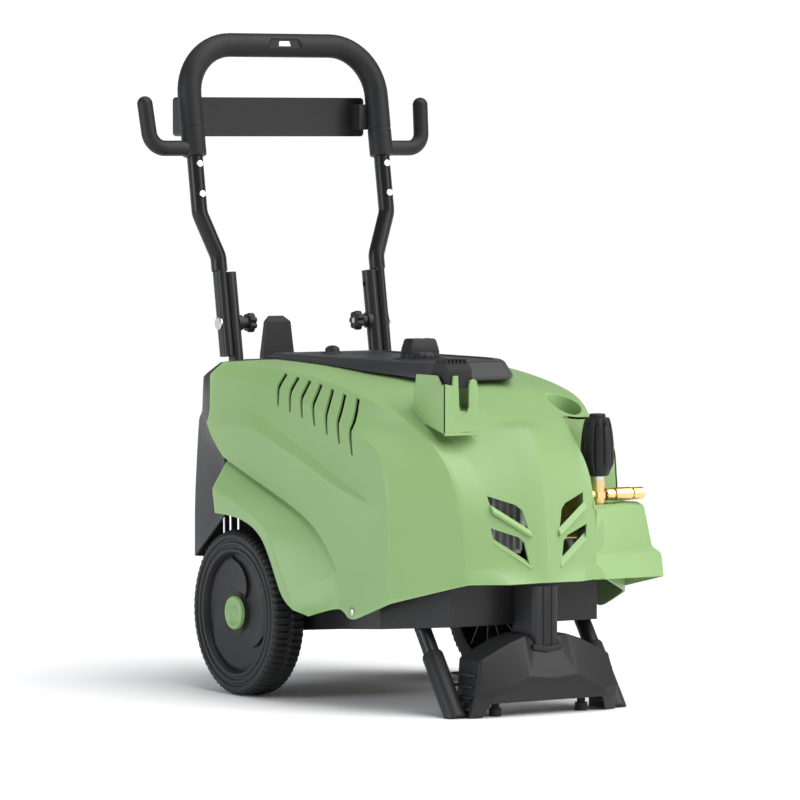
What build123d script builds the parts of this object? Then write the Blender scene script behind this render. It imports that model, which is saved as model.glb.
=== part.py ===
"""Electric pressure washer on two wheels, with a fold-down push handle.

Millimetres. +X is the machine's left-to-right seen from its front, -Y is its front, +Z is up.
The origin is on the floor, under the middle of the machine's bounding box.
"""
import os
from math import atan, cos, degrees, sin, tan

from build123d import *

# ---------------------------------------------------------------- driving dimensions
AXLE_Y = 76.0
WHEEL_R = 124.5
AXLE_Z = WHEEL_R
WHEEL_IN = 200.5
WHEEL_OUT = 253.5
AXLE_R = 10.0
RUN = 0.05                      # radial running clearance

WALL = 3.0                      # moulded plastic wall
SHEET = 2.5                     # folded steel

INLET = (-176.0, 262.0)          # water inlet: y, z

PIVOT = (0.0, 290.5, 550.5)     # axis of the handle's clamp bolts
LEAN = atan(0.1684)             # the handle leans back by this angle
TUBE_R = 12.5                   # handle tube
TUBE_WALL = 2.0
LAP_X = 143.5                   # handle tube beside the upright tube
LAP_THICK = 16.0                # handle tube pressed flat over the lap
LEG_X = 170.0                   # handle tube above its outward bend
GRIP_W = 435.5                  # pivot to the centre line of the grip, along the leaning plane
GRIP_CORNER = 80.0
GRIP_R = 18.6
SLEEVE_W = 260.0                # pivot to the lower end of the grip cover
UPRIGHT_X = 128.0
UPRIGHT_R = 12.0
UPRIGHT_FLAT = 7.2

TRAY_X = 185.0
TRAY_TOP = 190.0
TRAY_FRONT = -330.0
TRAY_BACK = 250.0
TRAY_CORNER = (56.0, 100.0)     # front corners cut away, across and along

POST_HALF = [(22.0, -339.0), (22.0, -384.0), (17.0, -391.0)]   # right half of its section
POST_FOOT = 60.0
POST_TOP = 187.0

MOTOR_X = -54.0                 # common axis of the motor and the pump's crankshaft
MOTOR_Z = 292.0
MOTOR_R = 88.0
OUTLET_Z = 310.0
VALVE_X = 140.0
VALVE_Y = -314.0
SWITCH_Y = -47.0
BUTTON_Y = 205.0
BUTTON_R = 11.5
COVER_TOP = 506.0

HANDLE = Plane(origin=PIVOT, x_dir=(1, 0, 0), z_dir=(0, -cos(LEAN), sin(LEAN)))
FAR = 700.0                     # longer than any cut needs


def save(builder, name):
    builder.part.label = name
    export_step(builder.part, f"parts/{name}.step")


def in_handle(x, w):
    """Point on the leaning plane: x across, w up along the plane from the pivot."""
    return HANDLE.from_local_coords(Vector(x, w, 0))


def mirrored(points):
    """Closed outline from its right half."""
    return list(points) + [(-x, y) for x, y in reversed(points) if x]


def outline(points):
    Polygon(*points, align=None)


os.makedirs("parts", exist_ok=True)

# ================================================================ chassis
def tray_plan(inset):
    across, along = TRAY_CORNER
    half = [(TRAY_X - across - inset / 2, TRAY_FRONT + inset),
            (TRAY_X - inset, TRAY_FRONT + along + inset / 2), (TRAY_X - inset, TRAY_BACK - inset)]
    outline(mirrored(half))


with BuildPart() as chassis_tray:
    with BuildSketch(Plane.YZ.offset(-TRAY_X)):
        outline([(TRAY_FRONT, TRAY_TOP), (TRAY_FRONT, 128), (-120, 112), (50, 96), (110, 96),
                 (TRAY_BACK, 112), (TRAY_BACK, TRAY_TOP)])
    extrude(amount=2 * TRAY_X)
    with BuildSketch(Plane.XY):
        tray_plan(0)
    extrude(amount=TRAY_TOP, mode=Mode.INTERSECT)
    with BuildSketch(Plane.XY):
        tray_plan(SHEET)
    extrude(amount=TRAY_TOP - SHEET, mode=Mode.SUBTRACT)
    with Locations(Location((0, AXLE_Y, AXLE_Z), (0, 90, 0))):
        Cylinder(AXLE_R, 2 * TRAY_X + 10, mode=Mode.SUBTRACT)
    for side in (-1, 1):
        foot = PIVOT[1] - tan(LEAN) * (PIVOT[2] - TRAY_TOP)
        with Locations(Location((side * UPRIGHT_X, foot, TRAY_TOP), (-degrees(LEAN), 0, 0))):
            Cylinder(UPRIGHT_R + 0.2, 40, mode=Mode.SUBTRACT)
save(chassis_tray, "chassis_tray")

with BuildPart() as axle:
    with Locations(Location((0, AXLE_Y, AXLE_Z), (0, 90, 0))):
        Cylinder(AXLE_R, 2 * 249)
save(axle, "axle")

with BuildPart() as axle_clips:
    for side in (-1, 1):
        with Locations(Location((side * 247.5, AXLE_Y, AXLE_Z), (0, 90, 0))):
            Cylinder(AXLE_R + 6, 1.5)
            Cylinder(AXLE_R, 1.5, mode=Mode.SUBTRACT)
save(axle_clips, "axle_clips")

# Upright tubes that the handle is clamped to: flattened on the side that meets the handle tube.
for side, name in ((-1, "upright_tube_left"), (1, "upright_tube_right")):
    with BuildPart() as upright:
        foot_w = (114 - PIVOT[2]) / cos(LEAN)
        top_w = 78.5
        plane = Plane(in_handle(side * UPRIGHT_X, foot_w), x_dir=(1, 0, 0),
                      z_dir=(0, sin(LEAN), cos(LEAN)))
        with BuildSketch(plane):
            Circle(UPRIGHT_R)
            with Locations((side * (UPRIGHT_FLAT + 10), 0)):
                Rectangle(20, 40, mode=Mode.SUBTRACT)
            Circle(UPRIGHT_R - 2, mode=Mode.SUBTRACT)
            with Locations((side * (UPRIGHT_FLAT - 1), 0)):
                Rectangle(2, 18.4)
        extrude(amount=top_w - foot_w)
        for hole_w in (0, 57):
            with Locations(Location(in_handle(side * UPRIGHT_X, hole_w), (0, 90, 0))):
                Cylinder(4.1, 60, mode=Mode.SUBTRACT)
    save(upright, name)

# Leg tubes: flat under the tray, then down and forward into the foot shroud.
LEG_TUBE_X = 140.0
LEG_BEND = (-237.0, 175.4)
LEG_FOOT = (-355.0, 11.0)
for side, name in ((-1, "leg_tube_left"), (1, "leg_tube_right")):
    with BuildPart() as leg:
        with BuildLine() as run:
            FilletPolyline((side * LEG_TUBE_X, -60, LEG_BEND[1]),
                           (side * LEG_TUBE_X, *LEG_BEND),
                           (side * LEG_TUBE_X, *LEG_FOOT), radius=45)
        with BuildSketch(Plane(run.line @ 0, z_dir=run.line % 0)):
            Circle(12)
            Circle(10, mode=Mode.SUBTRACT)
        sweep(path=run.line)
    save(leg, name)

FOOT_FRONT = [(0, 21), (98, 21), (112, 0), (156, 0), (124, 80), (60, 109), (35, 116), (0, 116)]
FOOT_SIDE = [(-330, -1), (-330, 117), (-386, 117), (-411, 56), (-393, 20), (-380, -1)]


def foot_form(inset):
    with BuildPart(mode=Mode.PRIVATE) as form:
        with BuildSketch(Plane.XZ.offset(300)):
            half = [(x - inset if x else 0, z - inset) for x, z in FOOT_FRONT]
            outline(mirrored(half))
        extrude(amount=120)
        with BuildSketch(Plane.YZ.offset(-200)):
            outline([(y + inset if y < -330 else y + inset / 2, z) for y, z in FOOT_SIDE])
        extrude(amount=400, mode=Mode.INTERSECT)
    return form.part


with BuildPart() as foot_shroud:
    add(foot_form(0))
    add(foot_form(WALL), mode=Mode.SUBTRACT)
    # Sleeves round the lower ends of the leg tubes.
    leg_way = Vector(0, LEG_FOOT[0] - LEG_BEND[0], LEG_FOOT[1] - LEG_BEND[1]).normalized()
    for side in (-1, 1):
        tip = Vector(side * LEG_TUBE_X, *LEG_FOOT)
        with BuildSketch(Plane(tip - leg_way * 94, z_dir=leg_way)):
            Circle(15.5)
        extrude(amount=112)
    for side in (-1, 1):
        tip = Vector(side * LEG_TUBE_X, *LEG_FOOT)
        with BuildSketch(Plane(tip - leg_way * 96, z_dir=leg_way)):
            Circle(12)
        extrude(amount=96, mode=Mode.SUBTRACT)
    with Locations((0, -360, -50)):
        Box(500, 300, 100, mode=Mode.SUBTRACT)
    # Collar for the post and way for the cross bar.
    with Locations((0, -360, 100)):
        Box(44.4, 62.4, 60, mode=Mode.SUBTRACT)
    with Locations((0, -356, 25)):
        Box(256, 44, 4, mode=Mode.SUBTRACT)
save(foot_shroud, "foot_shroud")

with BuildPart() as foot_bar:
    with Locations((0, -356, 25)):
        Box(255.6, 43.6, 4)
    for side in (-1, 1):
        tip = Vector(side * LEG_TUBE_X, *LEG_FOOT)
        with BuildSketch(Plane(tip - leg_way * 96, z_dir=leg_way)):
            Circle(12)
        extrude(amount=96, mode=Mode.SUBTRACT)
        with Locations((side * 75, -368, 25)):
            Cylinder(3.2, 10, mode=Mode.SUBTRACT)
save(foot_bar, "foot_bar")

with BuildPart() as front_post:
    with BuildSketch(Plane.XY.offset(POST_FOOT)):
        outline(mirrored(POST_HALF))
    extrude(amount=POST_TOP - POST_FOOT)
save(front_post, "front_post")

with BuildPart() as post_bracket:
    with Locations((0, -334.5, 107)):
        Box(40, 8.6, 160)
save(post_bracket, "post_bracket")

with BuildPart() as rubber_feet:
    for side in (-1, 1):
        with Locations((side * 75, -368, 0)):
            Cylinder(9, 12, align=(Align.CENTER, Align.CENTER, Align.MIN))
            Cylinder(6, 23, align=(Align.CENTER, Align.CENTER, Align.MIN))
            Cylinder(3.1, 27, align=(Align.CENTER, Align.CENTER, Align.MIN))
save(rubber_feet, "rubber_feet")

# ================================================================ covers
HOOD_TOP = [(-393, 192), (-393, 225), (-390, 254), (-385, 312), (-379, 341), (-371, 369),
            (-361, 391), (-345, 412), (-324, 433), (-217, 482), (-75, 486), (88, 497)]
HOOD_BACK = [(185, 497), (199, 478), (196, 419), (203, 406), (191, 382), (151, 355), (190, 310),
             (177, 268)]
HOOD_FOOT = [(-73, 134), (-218, 134), (-291, 163)]
FENDER_X = 262.0
ARCH_R = 143.0                  # edge of the wheel arch, round the axle
FENDER_R = 182.0
HOOD_SECTION = [(226, 100), (225, 320), (212, 420), (186, 478), (120, 499), (60, 503), (0, 503)]
HOOD_PLAN = [(0, -393), (65, -390), (121, -365), (208, -291), (226, -208), (226, 260)]
RECESS = (110, -420, -240, 298, 600)    # x low, y low, y high, z low, z high


def hood_form(inset):
    """Outside form of the hood, or the space inside it, whose walls stand in by the inset."""
    with BuildPart(mode=Mode.PRIVATE) as form:
        with BuildSketch(Plane.YZ.offset(-FAR)):
            if inset:
                outline([(y + inset, z - inset) for y, z in HOOD_TOP] + [(FAR, 494), (FAR, 0),
                        (HOOD_TOP[0][0] + inset, 0)])
            else:
                outline(HOOD_TOP + HOOD_BACK + HOOD_FOOT)
        extrude(amount=2 * FAR)
        with BuildSketch(Plane.XZ.offset(-FAR)):
            outline(mirrored([(x - inset if x else 0, z - inset) for x, z in HOOD_SECTION]))
        extrude(amount=2 * FAR, mode=Mode.INTERSECT)
        with BuildSketch(Plane.XY):
            half = [(x - inset if x else 0, y + inset) for x, y in HOOD_PLAN]
            outline(mirrored(half))
        extrude(amount=FAR, mode=Mode.INTERSECT)
    return form.part


def recess_block(grow):
    x_low, y_low, y_high, z_low, z_high = RECESS
    with BuildPart(mode=Mode.PRIVATE) as block:
        with BuildSketch(Plane.XY.offset(z_low - grow)):
            outline([(x_low - grow, y_low), (FAR, y_low), (FAR, y_high + grow),
                     (x_low - grow, y_high + grow)])
        extrude(amount=z_high - z_low + 2 * grow)
    return block.part


def fender_block(inset):
    """Flares over the wheels, or the space inside them."""
    with BuildPart(mode=Mode.PRIVATE) as block:
        for side in (-1, 1):
            with BuildSketch(Plane.YZ.offset(side * 195)):
                with Locations((AXLE_Y, AXLE_Z)):
                    Circle(FENDER_R - inset)
                    Circle(ARCH_R if not inset else 90, mode=Mode.SUBTRACT)
            extrude(amount=side * (FENDER_X - 195 - inset))
        with Locations((0, (-150 + 115) / 2, 134 + 100)):
            Box(2 * FAR, 265 - 2 * inset, 200 + (2 if inset else 0), mode=Mode.INTERSECT)
    return block.part


def shelf_block(inset):
    """Bulge under the outlet, to the right of the front."""
    with BuildPart(mode=Mode.PRIVATE) as block:
        with BuildSketch(Plane.XY.offset(187 if not inset else 100)):
            outline([(90, -376 + inset), (240 - inset, -341 + inset), (234 - inset, -240 - inset),
                     (90, -240 - inset)])
        extrude(amount=RECESS[3] - inset - (187 if not inset else 100))
    return block.part


def socket_block(width, z_low):
    """Upright pocket for the gun, 10 mm longer than it is wide."""
    with BuildPart(mode=Mode.PRIVATE) as block:
        with BuildSketch(Plane.XY.offset(z_low)):
            with Locations((140, -180)):
                RectangleRounded(width, width + 10, 10)
        extrude(amount=140)
    return block.part


with BuildPart() as hood:
    add(hood_form(0))
    add(shelf_block(0))
    add(fender_block(0))
    add(recess_block(0), mode=Mode.SUBTRACT)
    inner = hood_form(WALL) + shelf_block(WALL) + fender_block(WALL)
    add(inner - recess_block(WALL), mode=Mode.SUBTRACT)
    # Wheel arches.
    for side in (-1, 1):
        with Locations(Location((side * 240, AXLE_Y, AXLE_Z), (0, 90, 0))):
            Cylinder(ARCH_R, 84, mode=Mode.SUBTRACT)
    # Lance bracket, left of the front, with a slot for the rubber clip.
    with BuildSketch(Plane.YZ.offset(-133)):
        outline([(-324, 407), (-232, 440), (-232, 492), (-324, 497)])
    extrude(amount=56)
    with Locations((-105, -280, 478)):
        Box(44, 120, 60, mode=Mode.SUBTRACT)
    # Gun socket on the right of the front.
    add(socket_block(56, 380) & hood_form(0))
    add(socket_block(50, 384), mode=Mode.SUBTRACT)
    # Opening under the top cover.
    with Locations((0, -25, 500)):
        Box(150, 250, 60, mode=Mode.SUBTRACT)
    # Seven air slots on each side.
    for slot in range(7):
        drop = 26 + 5 * slot
        with Locations(Location((0, -2 - 30 * slot, 448 - 5 * slot), (8, 0, 0))):
            Box(2 * FAR, 7, 2 * drop, mode=Mode.SUBTRACT)
    # Two swept vents on each side of the ridge.
    for side in (-1, 1):
        for low in (262, 218):
            with BuildSketch(Plane.XZ.offset(300)):
                outline([(side * 28, low), (side * 34, low + 36), (side * 88, low + 58),
                         (side * 76, low + 40)])
            extrude(amount=200, mode=Mode.SUBTRACT)
    # Way out for the unloader and for the water inlet.
    with Locations(Location((VALVE_X - 30, VALVE_Y, OUTLET_Z + 3), (0, 90, 0))):
        Cylinder(15, 40, mode=Mode.SUBTRACT)
    with Locations((VALVE_X, VALVE_Y, RECESS[3])):
        Cylinder(16, 12, mode=Mode.SUBTRACT)
    with Locations(Location((220, *INLET), (0, 90, 0))):
        Cylinder(19, 40, mode=Mode.SUBTRACT)
    # Screw holes in the lower tabs.
    for side in (-1, 1):
        with Locations(Location((side * 222, -208, 146), (0, 90, 0))):
            Cylinder(3, 20, mode=Mode.SUBTRACT)
save(hood, "hood")

with BuildPart() as hood_screws:
    for side in (-1, 1):
        with Locations(Location((side * 208, -208, 146), (0, 90, 0))):
            Cylinder(2.9, 44)
        with Locations(Location((side * 228, -208, 146), (0, 90, 0))):
            Cylinder(6, 4)
save(hood_screws, "hood_screws")

BACK_EDGE = [(y + 1.2, z) for y, z in HOOD_BACK]
BACK_WALL = [(281, 188), (300, 197), (304, 280), (306, 357), (306, 406), (301, 417), (304, 470),
             (300, 496)]


def rear_form(inset):
    with BuildPart(mode=Mode.PRIVATE) as form:
        with BuildSketch(Plane.YZ.offset(-FAR)):
            if inset:
                outline([(60, 0), (BACK_WALL[0][0] - inset, 0)]
                        + [(y - inset, z - inset) for y, z in BACK_WALL] + [(60, 493)])
            else:
                outline(BACK_EDGE + BACK_WALL)
        extrude(amount=2 * FAR)
        with BuildSketch(Plane.XZ.offset(-FAR)):
            section = [(212, 100), (212, 420), (184, 478), (120, 496), (0, 496)]
            outline(mirrored([(x - inset if x else 0, z - inset) for x, z in section]))
        extrude(amount=2 * FAR, mode=Mode.INTERSECT)
        with BuildSketch(Plane.XY):
            plan = [(0, 60), (212, 60), (212, 240), (150, 306), (0, 306)]
            outline(mirrored([(x - inset if x else 0, y - inset) for x, y in plan]))
        extrude(amount=FAR, mode=Mode.INTERSECT)
    return form.part


with BuildPart() as rear_cover:
    add(rear_form(0))
    add(rear_form(WALL), mode=Mode.SUBTRACT)
    for side in (-1, 1):
        with Locations(Location(in_handle(side * UPRIGHT_X, -56), (-degrees(LEAN), 0, 0))):
            Cylinder(UPRIGHT_R + 1, 60, mode=Mode.SUBTRACT)
    # Upright air slots low in the back wall.
    with GridLocations(26, 1, 8, 1):
        with Locations((0, 300, 255)):
            Box(9, 30, 62, mode=Mode.SUBTRACT)
    with Locations(Location((-90, 300, 330), (90, 0, 0))):
        Cylinder(10, 40, mode=Mode.SUBTRACT)
    with Locations((0, BUTTON_Y, 490)):
        Cylinder(BUTTON_R + 6, 40, mode=Mode.SUBTRACT)
save(rear_cover, "rear_cover")

with BuildPart() as cable_gland:
    with Locations(Location((-90, 306, 330), (90, 0, 0))):
        Cylinder(9.9, 22)
    with Locations(Location((-90, 315, 330), (90, 0, 0))):
        Cylinder(14, 16)
    with Locations(Location((-90, 330, 330), (90, 0, 0))):
        Cone(8, 12, 16)
    with Locations(Location((-90, 316, 330), (90, 0, 0))):
        Cylinder(4.5, 70, mode=Mode.SUBTRACT)
save(cable_gland, "cable_gland")

# Two hooks that the cable is wound on: one finger up, one down, narrower at the tip.
HOOK_ROOT, HOOK_TIP = 28.5, 18.5        # half widths
HOOK_WALL, HOOK_BACK = 307.0, 366.0     # y of the wall and of the finger


def cable_hook(base, up):
    """A finger on its base plate; up is 1 or -1."""
    knee, tip = base + up * 54, base + up * 117
    with BuildPart(mode=Mode.PRIVATE) as finger:
        with BuildSketch(Plane.YZ.offset(-30)):
            outline([(HOOK_WALL, base), (HOOK_BACK, base), (HOOK_BACK, tip - up * 9),
                     (HOOK_BACK + 10, tip), (HOOK_BACK + 12, base - up * 14),
                     (HOOK_WALL, base - up * 14)])
        extrude(amount=60)
        with BuildSketch(Plane.XZ.offset(-400)):
            outline(mirrored([(HOOK_ROOT, base - up * 26), (HOOK_ROOT, knee),
                              (HOOK_TIP + 3, tip - up * 9), (HOOK_TIP - 5, tip)]))
        extrude(amount=120, mode=Mode.INTERSECT)
        with Locations((0, HOOK_WALL + 2.5, base)):
            Box(60, 5, 52)
    return finger.part


with BuildPart() as cable_hooks:
    add(cable_hook(440, 1))
    add(cable_hook(330, -1))
save(cable_hooks, "cable_hooks")

with BuildPart() as top_cover:
    rim = [(50, -217), (85, -165), (108, -75), (110, 88), (110, 225)]
    with BuildSketch(Plane.XY.offset(478)):
        outline(rim + [(-x, y) for x, y in reversed(rim)])
    extrude(amount=COVER_TOP - 478)
    chamfer(top_cover.faces().sort_by(Axis.Z)[-1].edges(), 5)
    add(hood_form(0), mode=Mode.SUBTRACT)
    add(rear_form(0), mode=Mode.SUBTRACT)
    with Locations((0, BUTTON_Y, 477)):
        Box(300, 60, 40, mode=Mode.SUBTRACT)
    with Locations((0, -25, 478)):
        Box(148, 248, 44, mode=Mode.SUBTRACT)
    with Locations((0, SWITCH_Y, 500)):
        Cylinder(9.1, 40, mode=Mode.SUBTRACT)
    with Locations((0, BUTTON_Y, 500)):
        Cylinder(BUTTON_R + 0.3, 60, mode=Mode.SUBTRACT)
save(top_cover, "top_cover")

# Ribbed rubber clip in the lance bracket.
with BuildPart() as lance_clip:
    with BuildSketch(Plane.YZ.offset(-126.8)):
        outline([(-318, 449), (-226, 449), (-226, 500), (-318, 500)])
    extrude(amount=43.6)
    with Locations(Location((-105, -272, 482), (90, 0, 0))):
        Cylinder(11, 140, mode=Mode.SUBTRACT)
    with Locations((-105, -272, 494)):
        Box(16, 140, 24, mode=Mode.SUBTRACT)
save(lance_clip, "lance_clip")

# ================================================================ motor, along Y
def along_y(y_low, y_high, x=MOTOR_X, z=MOTOR_Z):
    """Plane facing +Y at the low end, and the length to extrude."""
    return Plane((x, y_low, z), x_dir=(1, 0, 0), z_dir=(0, 1, 0)), y_high - y_low


STATOR = (-70.0, 118.0)
BELL = (-92.0, -70.0)
BACK_SHIELD = (118.0, 132.0)
FAN = (138.0, 158.0)
FAN_COVER = (125.0, 178.0)

with BuildPart() as motor_housing:
    plane, length = along_y(*STATOR)
    with BuildSketch(plane):
        Circle(MOTOR_R - 16)
        with PolarLocations(MOTOR_R - 12, 30):
            Rectangle(24, 3)
        Circle(MOTOR_R - 24, mode=Mode.SUBTRACT)
    extrude(amount=length)
    # Feet on the tray.
    for side in (-1, 1):
        with Locations((MOTOR_X + side * 56, 24, 212)):
            Box(30, 120, 28)
    with BuildSketch(plane):
        Circle(MOTOR_R - 24)
    extrude(amount=length, mode=Mode.SUBTRACT)
save(motor_housing, "motor_housing")

with BuildPart() as motor_stator:
    plane, length = along_y(-48, 96)
    with BuildSketch(plane):
        Circle(MOTOR_R - 24)
        Circle(39, mode=Mode.SUBTRACT)
        with PolarLocations(44, 24):
            Rectangle(16, 5, mode=Mode.SUBTRACT)
    extrude(amount=length)
save(motor_stator, "motor_stator")

with BuildPart() as motor_mounts:
    for side in (-1, 1):
        for y in (-16, 64):
            with Locations((MOTOR_X + side * 56, y, 190)):
                Cylinder(11, 8, align=(Align.CENTER, Align.CENTER, Align.MIN))
save(motor_mounts, "motor_mounts")

SHAFT_R = 12.0
BEARING_R = 26.0
with BuildPart() as motor_front_shield:
    plane, length = along_y(*BELL)
    with BuildSketch(plane):
        Circle(MOTOR_R - 6)
    extrude(amount=length)
    with BuildSketch(plane):
        Circle(BEARING_R)
    extrude(amount=length, mode=Mode.SUBTRACT)
save(motor_front_shield, "motor_front_shield")

with BuildPart() as motor_rear_shield:
    plane, length = along_y(*BACK_SHIELD)
    with BuildSketch(plane):
        Circle(MOTOR_R - 8)
        Circle(BEARING_R, mode=Mode.SUBTRACT)
    extrude(amount=length)
save(motor_rear_shield, "motor_rear_shield")

with BuildPart() as bearings:
    for y_low in (-90, 118):
        plane, length = along_y(y_low, y_low + 13)
        with BuildSketch(plane):
            Circle(BEARING_R)
            Circle(SHAFT_R + RUN, mode=Mode.SUBTRACT)
        extrude(amount=length)
save(bearings, "bearings")

with BuildPart() as fan_cover:
    plane, length = along_y(*FAN_COVER)
    with BuildSketch(plane):
        Circle(MOTOR_R + 2)
    extrude(amount=length)
    with BuildSketch(plane):
        Circle(MOTOR_R - 0.5)
    extrude(amount=length - 2, mode=Mode.SUBTRACT)
    with BuildSketch(Plane((MOTOR_X, FAN_COVER[1], MOTOR_Z), x_dir=(1, 0, 0), z_dir=(0, -1, 0))):
        for radius in (30, 52, 72):
            with PolarLocations(radius, radius // 5):
                Circle(5)
    extrude(amount=4, mode=Mode.SUBTRACT)
save(fan_cover, "fan_cover")

with BuildPart() as rotor_shaft:
    plane, length = along_y(-130, 160)
    with BuildSketch(plane):
        Circle(SHAFT_R)
    extrude(amount=length)
    plane, length = along_y(-50, 98)
    with BuildSketch(plane):
        Circle(38)
    extrude(amount=length)
save(rotor_shaft, "rotor_shaft")

with BuildPart() as cooling_fan:
    plane, length = along_y(*FAN)
    with BuildSketch(plane):
        Circle(24)
    extrude(amount=length)
    with BuildSketch(plane):
        with PolarLocations(50, 8):
            Rectangle(56, 4)
    extrude(amount=length)
    with BuildSketch(plane):
        Circle(SHAFT_R)
    extrude(amount=length, mode=Mode.SUBTRACT)
save(cooling_fan, "cooling_fan")

with BuildPart() as terminal_box:
    with Locations((MOTOR_X, 24, MOTOR_Z + MOTOR_R + 16)):
        Box(90, 70, 32)
        Box(84, 64, 26, mode=Mode.SUBTRACT)
save(terminal_box, "terminal_box")

with BuildPart() as capacitor:
    with Locations(Location((MOTOR_X + 104, 40, MOTOR_Z + 38), (90, 0, 0))):
        Cylinder(22, 110)
save(capacitor, "capacitor")

# ================================================================ pump, in line with the motor
CRANK_Y = (-300.0, -130.0)
PLUNGERS = (-298.0, -262.0, -226.0)
HEAD_MID = MOTOR_X + 129

with BuildPart() as pump_crankcase:
    with Locations((MOTOR_X, -211, MOTOR_Z - 4)):
        Box(110, 218, 116)
    # Cooling ribs across the front and the top.
    for rib in range(9):
        with Locations((MOTOR_X - 48 + 12 * rib, -325, MOTOR_Z - 4)):
            Box(4, 12, 104)
    # Neck for the shaft, plunger housing towards the head.
    plane, length = along_y(-104, -92)
    with BuildSketch(plane):
        Circle(60)
    extrude(amount=length)
    with Locations((MOTOR_X + 80, -262, MOTOR_Z)):
        Box(52, 116, 44)
    with Locations((MOTOR_X, -211, MOTOR_Z)):
        Box(96, 196, 96, mode=Mode.SUBTRACT)
    plane, length = along_y(-118, -90)
    with BuildSketch(plane):
        Circle(BEARING_R)
    extrude(amount=length, mode=Mode.SUBTRACT)
    for y in PLUNGERS:
        with Locations(Location((MOTOR_X + 80, y, MOTOR_Z), (0, 90, 0))):
            Cylinder(9, 80, mode=Mode.SUBTRACT)
    for side in (-1, 1):
        for y in (-290, -140):
            with Locations((MOTOR_X + side * 40, y, 211)):
                Box(24, 30, 42)
                Box(20, 26, 60, mode=Mode.SUBTRACT)
save(pump_crankcase, "pump_crankcase")

# Shaft with three eccentrics, 120 degrees apart.
with BuildPart() as crankshaft:
    plane, length = along_y(CRANK_Y[0], CRANK_Y[1])
    with BuildSketch(plane):
        Circle(SHAFT_R)
    extrude(amount=length)
    for index, y in enumerate(PLUNGERS):
        turn = 120 * index + 90
        plane, length = along_y(max(y - 12, CRANK_Y[0]), y + 12)
        with BuildSketch(plane):
            with PolarLocations(7, 1, start_angle=turn):
                Circle(24)
        extrude(amount=length)
save(crankshaft, "crankshaft")

with BuildPart() as plungers:
    for y in PLUNGERS:
        with Locations(Location((MOTOR_X + 84, y, MOTOR_Z), (0, 90, 0))):
            Cylinder(9, 64)
save(plungers, "plungers")

with BuildPart() as pump_head:
    with Locations((HEAD_MID, -262, MOTOR_Z)):
        Box(46, 124, 92)
    for y in PLUNGERS:
        with Locations(Location((HEAD_MID - 19, y, MOTOR_Z), (0, 90, 0))):
            Cylinder(9.5, 20, mode=Mode.SUBTRACT)
        with Locations((HEAD_MID, y, MOTOR_Z + 40)):
            Cylinder(9, 13, mode=Mode.SUBTRACT)
        with Locations((HEAD_MID, y, MOTOR_Z - 40)):
            Cylinder(9, 13, mode=Mode.SUBTRACT)
    fillet(pump_head.edges().filter_by(Axis.X), 8)
save(pump_head, "pump_head")

with BuildPart() as valve_caps:
    for y in PLUNGERS:
        for side in (-1, 1):
            with Locations((HEAD_MID, y, MOTOR_Z + side * 40)):
                Cylinder(9, 13)
            with BuildSketch(Plane.XY.offset(MOTOR_Z + (46 if side > 0 else -56))):
                with Locations((HEAD_MID, y)):
                    RegularPolygon(13, 6)
            extrude(amount=10)
save(valve_caps, "valve_caps")

# Unloader valve: a pipe from the head, a vertical body, and the outlet to the right.
with BuildPart() as unloader_body:
    with Locations(Location((HEAD_MID + 23, VALVE_Y, OUTLET_Z), (0, 90, 0))):
        Cylinder(8.5, 42, align=(Align.CENTER, Align.CENTER, Align.MIN))
    with Locations((VALVE_X, VALVE_Y, OUTLET_Z + 3)):
        Cylinder(11.5, 36)
    with BuildSketch(Plane.XY.offset(OUTLET_Z - 5)):
        with Locations((VALVE_X, VALVE_Y)):
            RegularPolygon(13.5, 6)
    extrude(amount=10)
    with Locations((VALVE_X, VALVE_Y, OUTLET_Z + 16)):
        Cylinder(5, 12, mode=Mode.SUBTRACT)
save(unloader_body, "unloader_body")

KNOB_Z = (338.0, 430.0)
with BuildPart() as regulator_stem:
    with Locations((VALVE_X, VALVE_Y, OUTLET_Z + 10)):
        Cylinder(4.9, KNOB_Z[1] - 16 - OUTLET_Z - 10, align=(Align.CENTER, Align.CENTER, Align.MIN))
    with Locations((VALVE_X, VALVE_Y, OUTLET_Z + 21)):
        Cylinder(10, KNOB_Z[0] - 0.5 - OUTLET_Z - 21,
                 align=(Align.CENTER, Align.CENTER, Align.MIN))
save(regulator_stem, "regulator_stem")

with BuildPart() as regulator_knob:
    with BuildSketch(Plane.XZ.offset(-VALVE_Y)):
        with Locations((VALVE_X, 0)):
            Polygon((0, KNOB_Z[0]), (19, KNOB_Z[0]), (25, KNOB_Z[0] + 16), (23, KNOB_Z[1] - 26),
                    (17, KNOB_Z[1] - 4), (12, KNOB_Z[1]), (0, KNOB_Z[1]), align=None)
    revolve(axis=Axis((VALVE_X, VALVE_Y, 0), (0, 0, 1)))
    with Locations((VALVE_X, VALVE_Y, KNOB_Z[0] - 1)):
        Cylinder(4.9 + RUN, KNOB_Z[1] - KNOB_Z[0] - 14.5,
                 align=(Align.CENTER, Align.CENTER, Align.MIN), mode=Mode.SUBTRACT)
    with BuildSketch(Plane.XY.offset(KNOB_Z[0] + 20)):
        with Locations((VALVE_X, VALVE_Y)):
            with PolarLocations(26, 10):
                Circle(4.5)
    extrude(amount=60, mode=Mode.SUBTRACT)
save(regulator_knob, "regulator_knob")

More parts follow.
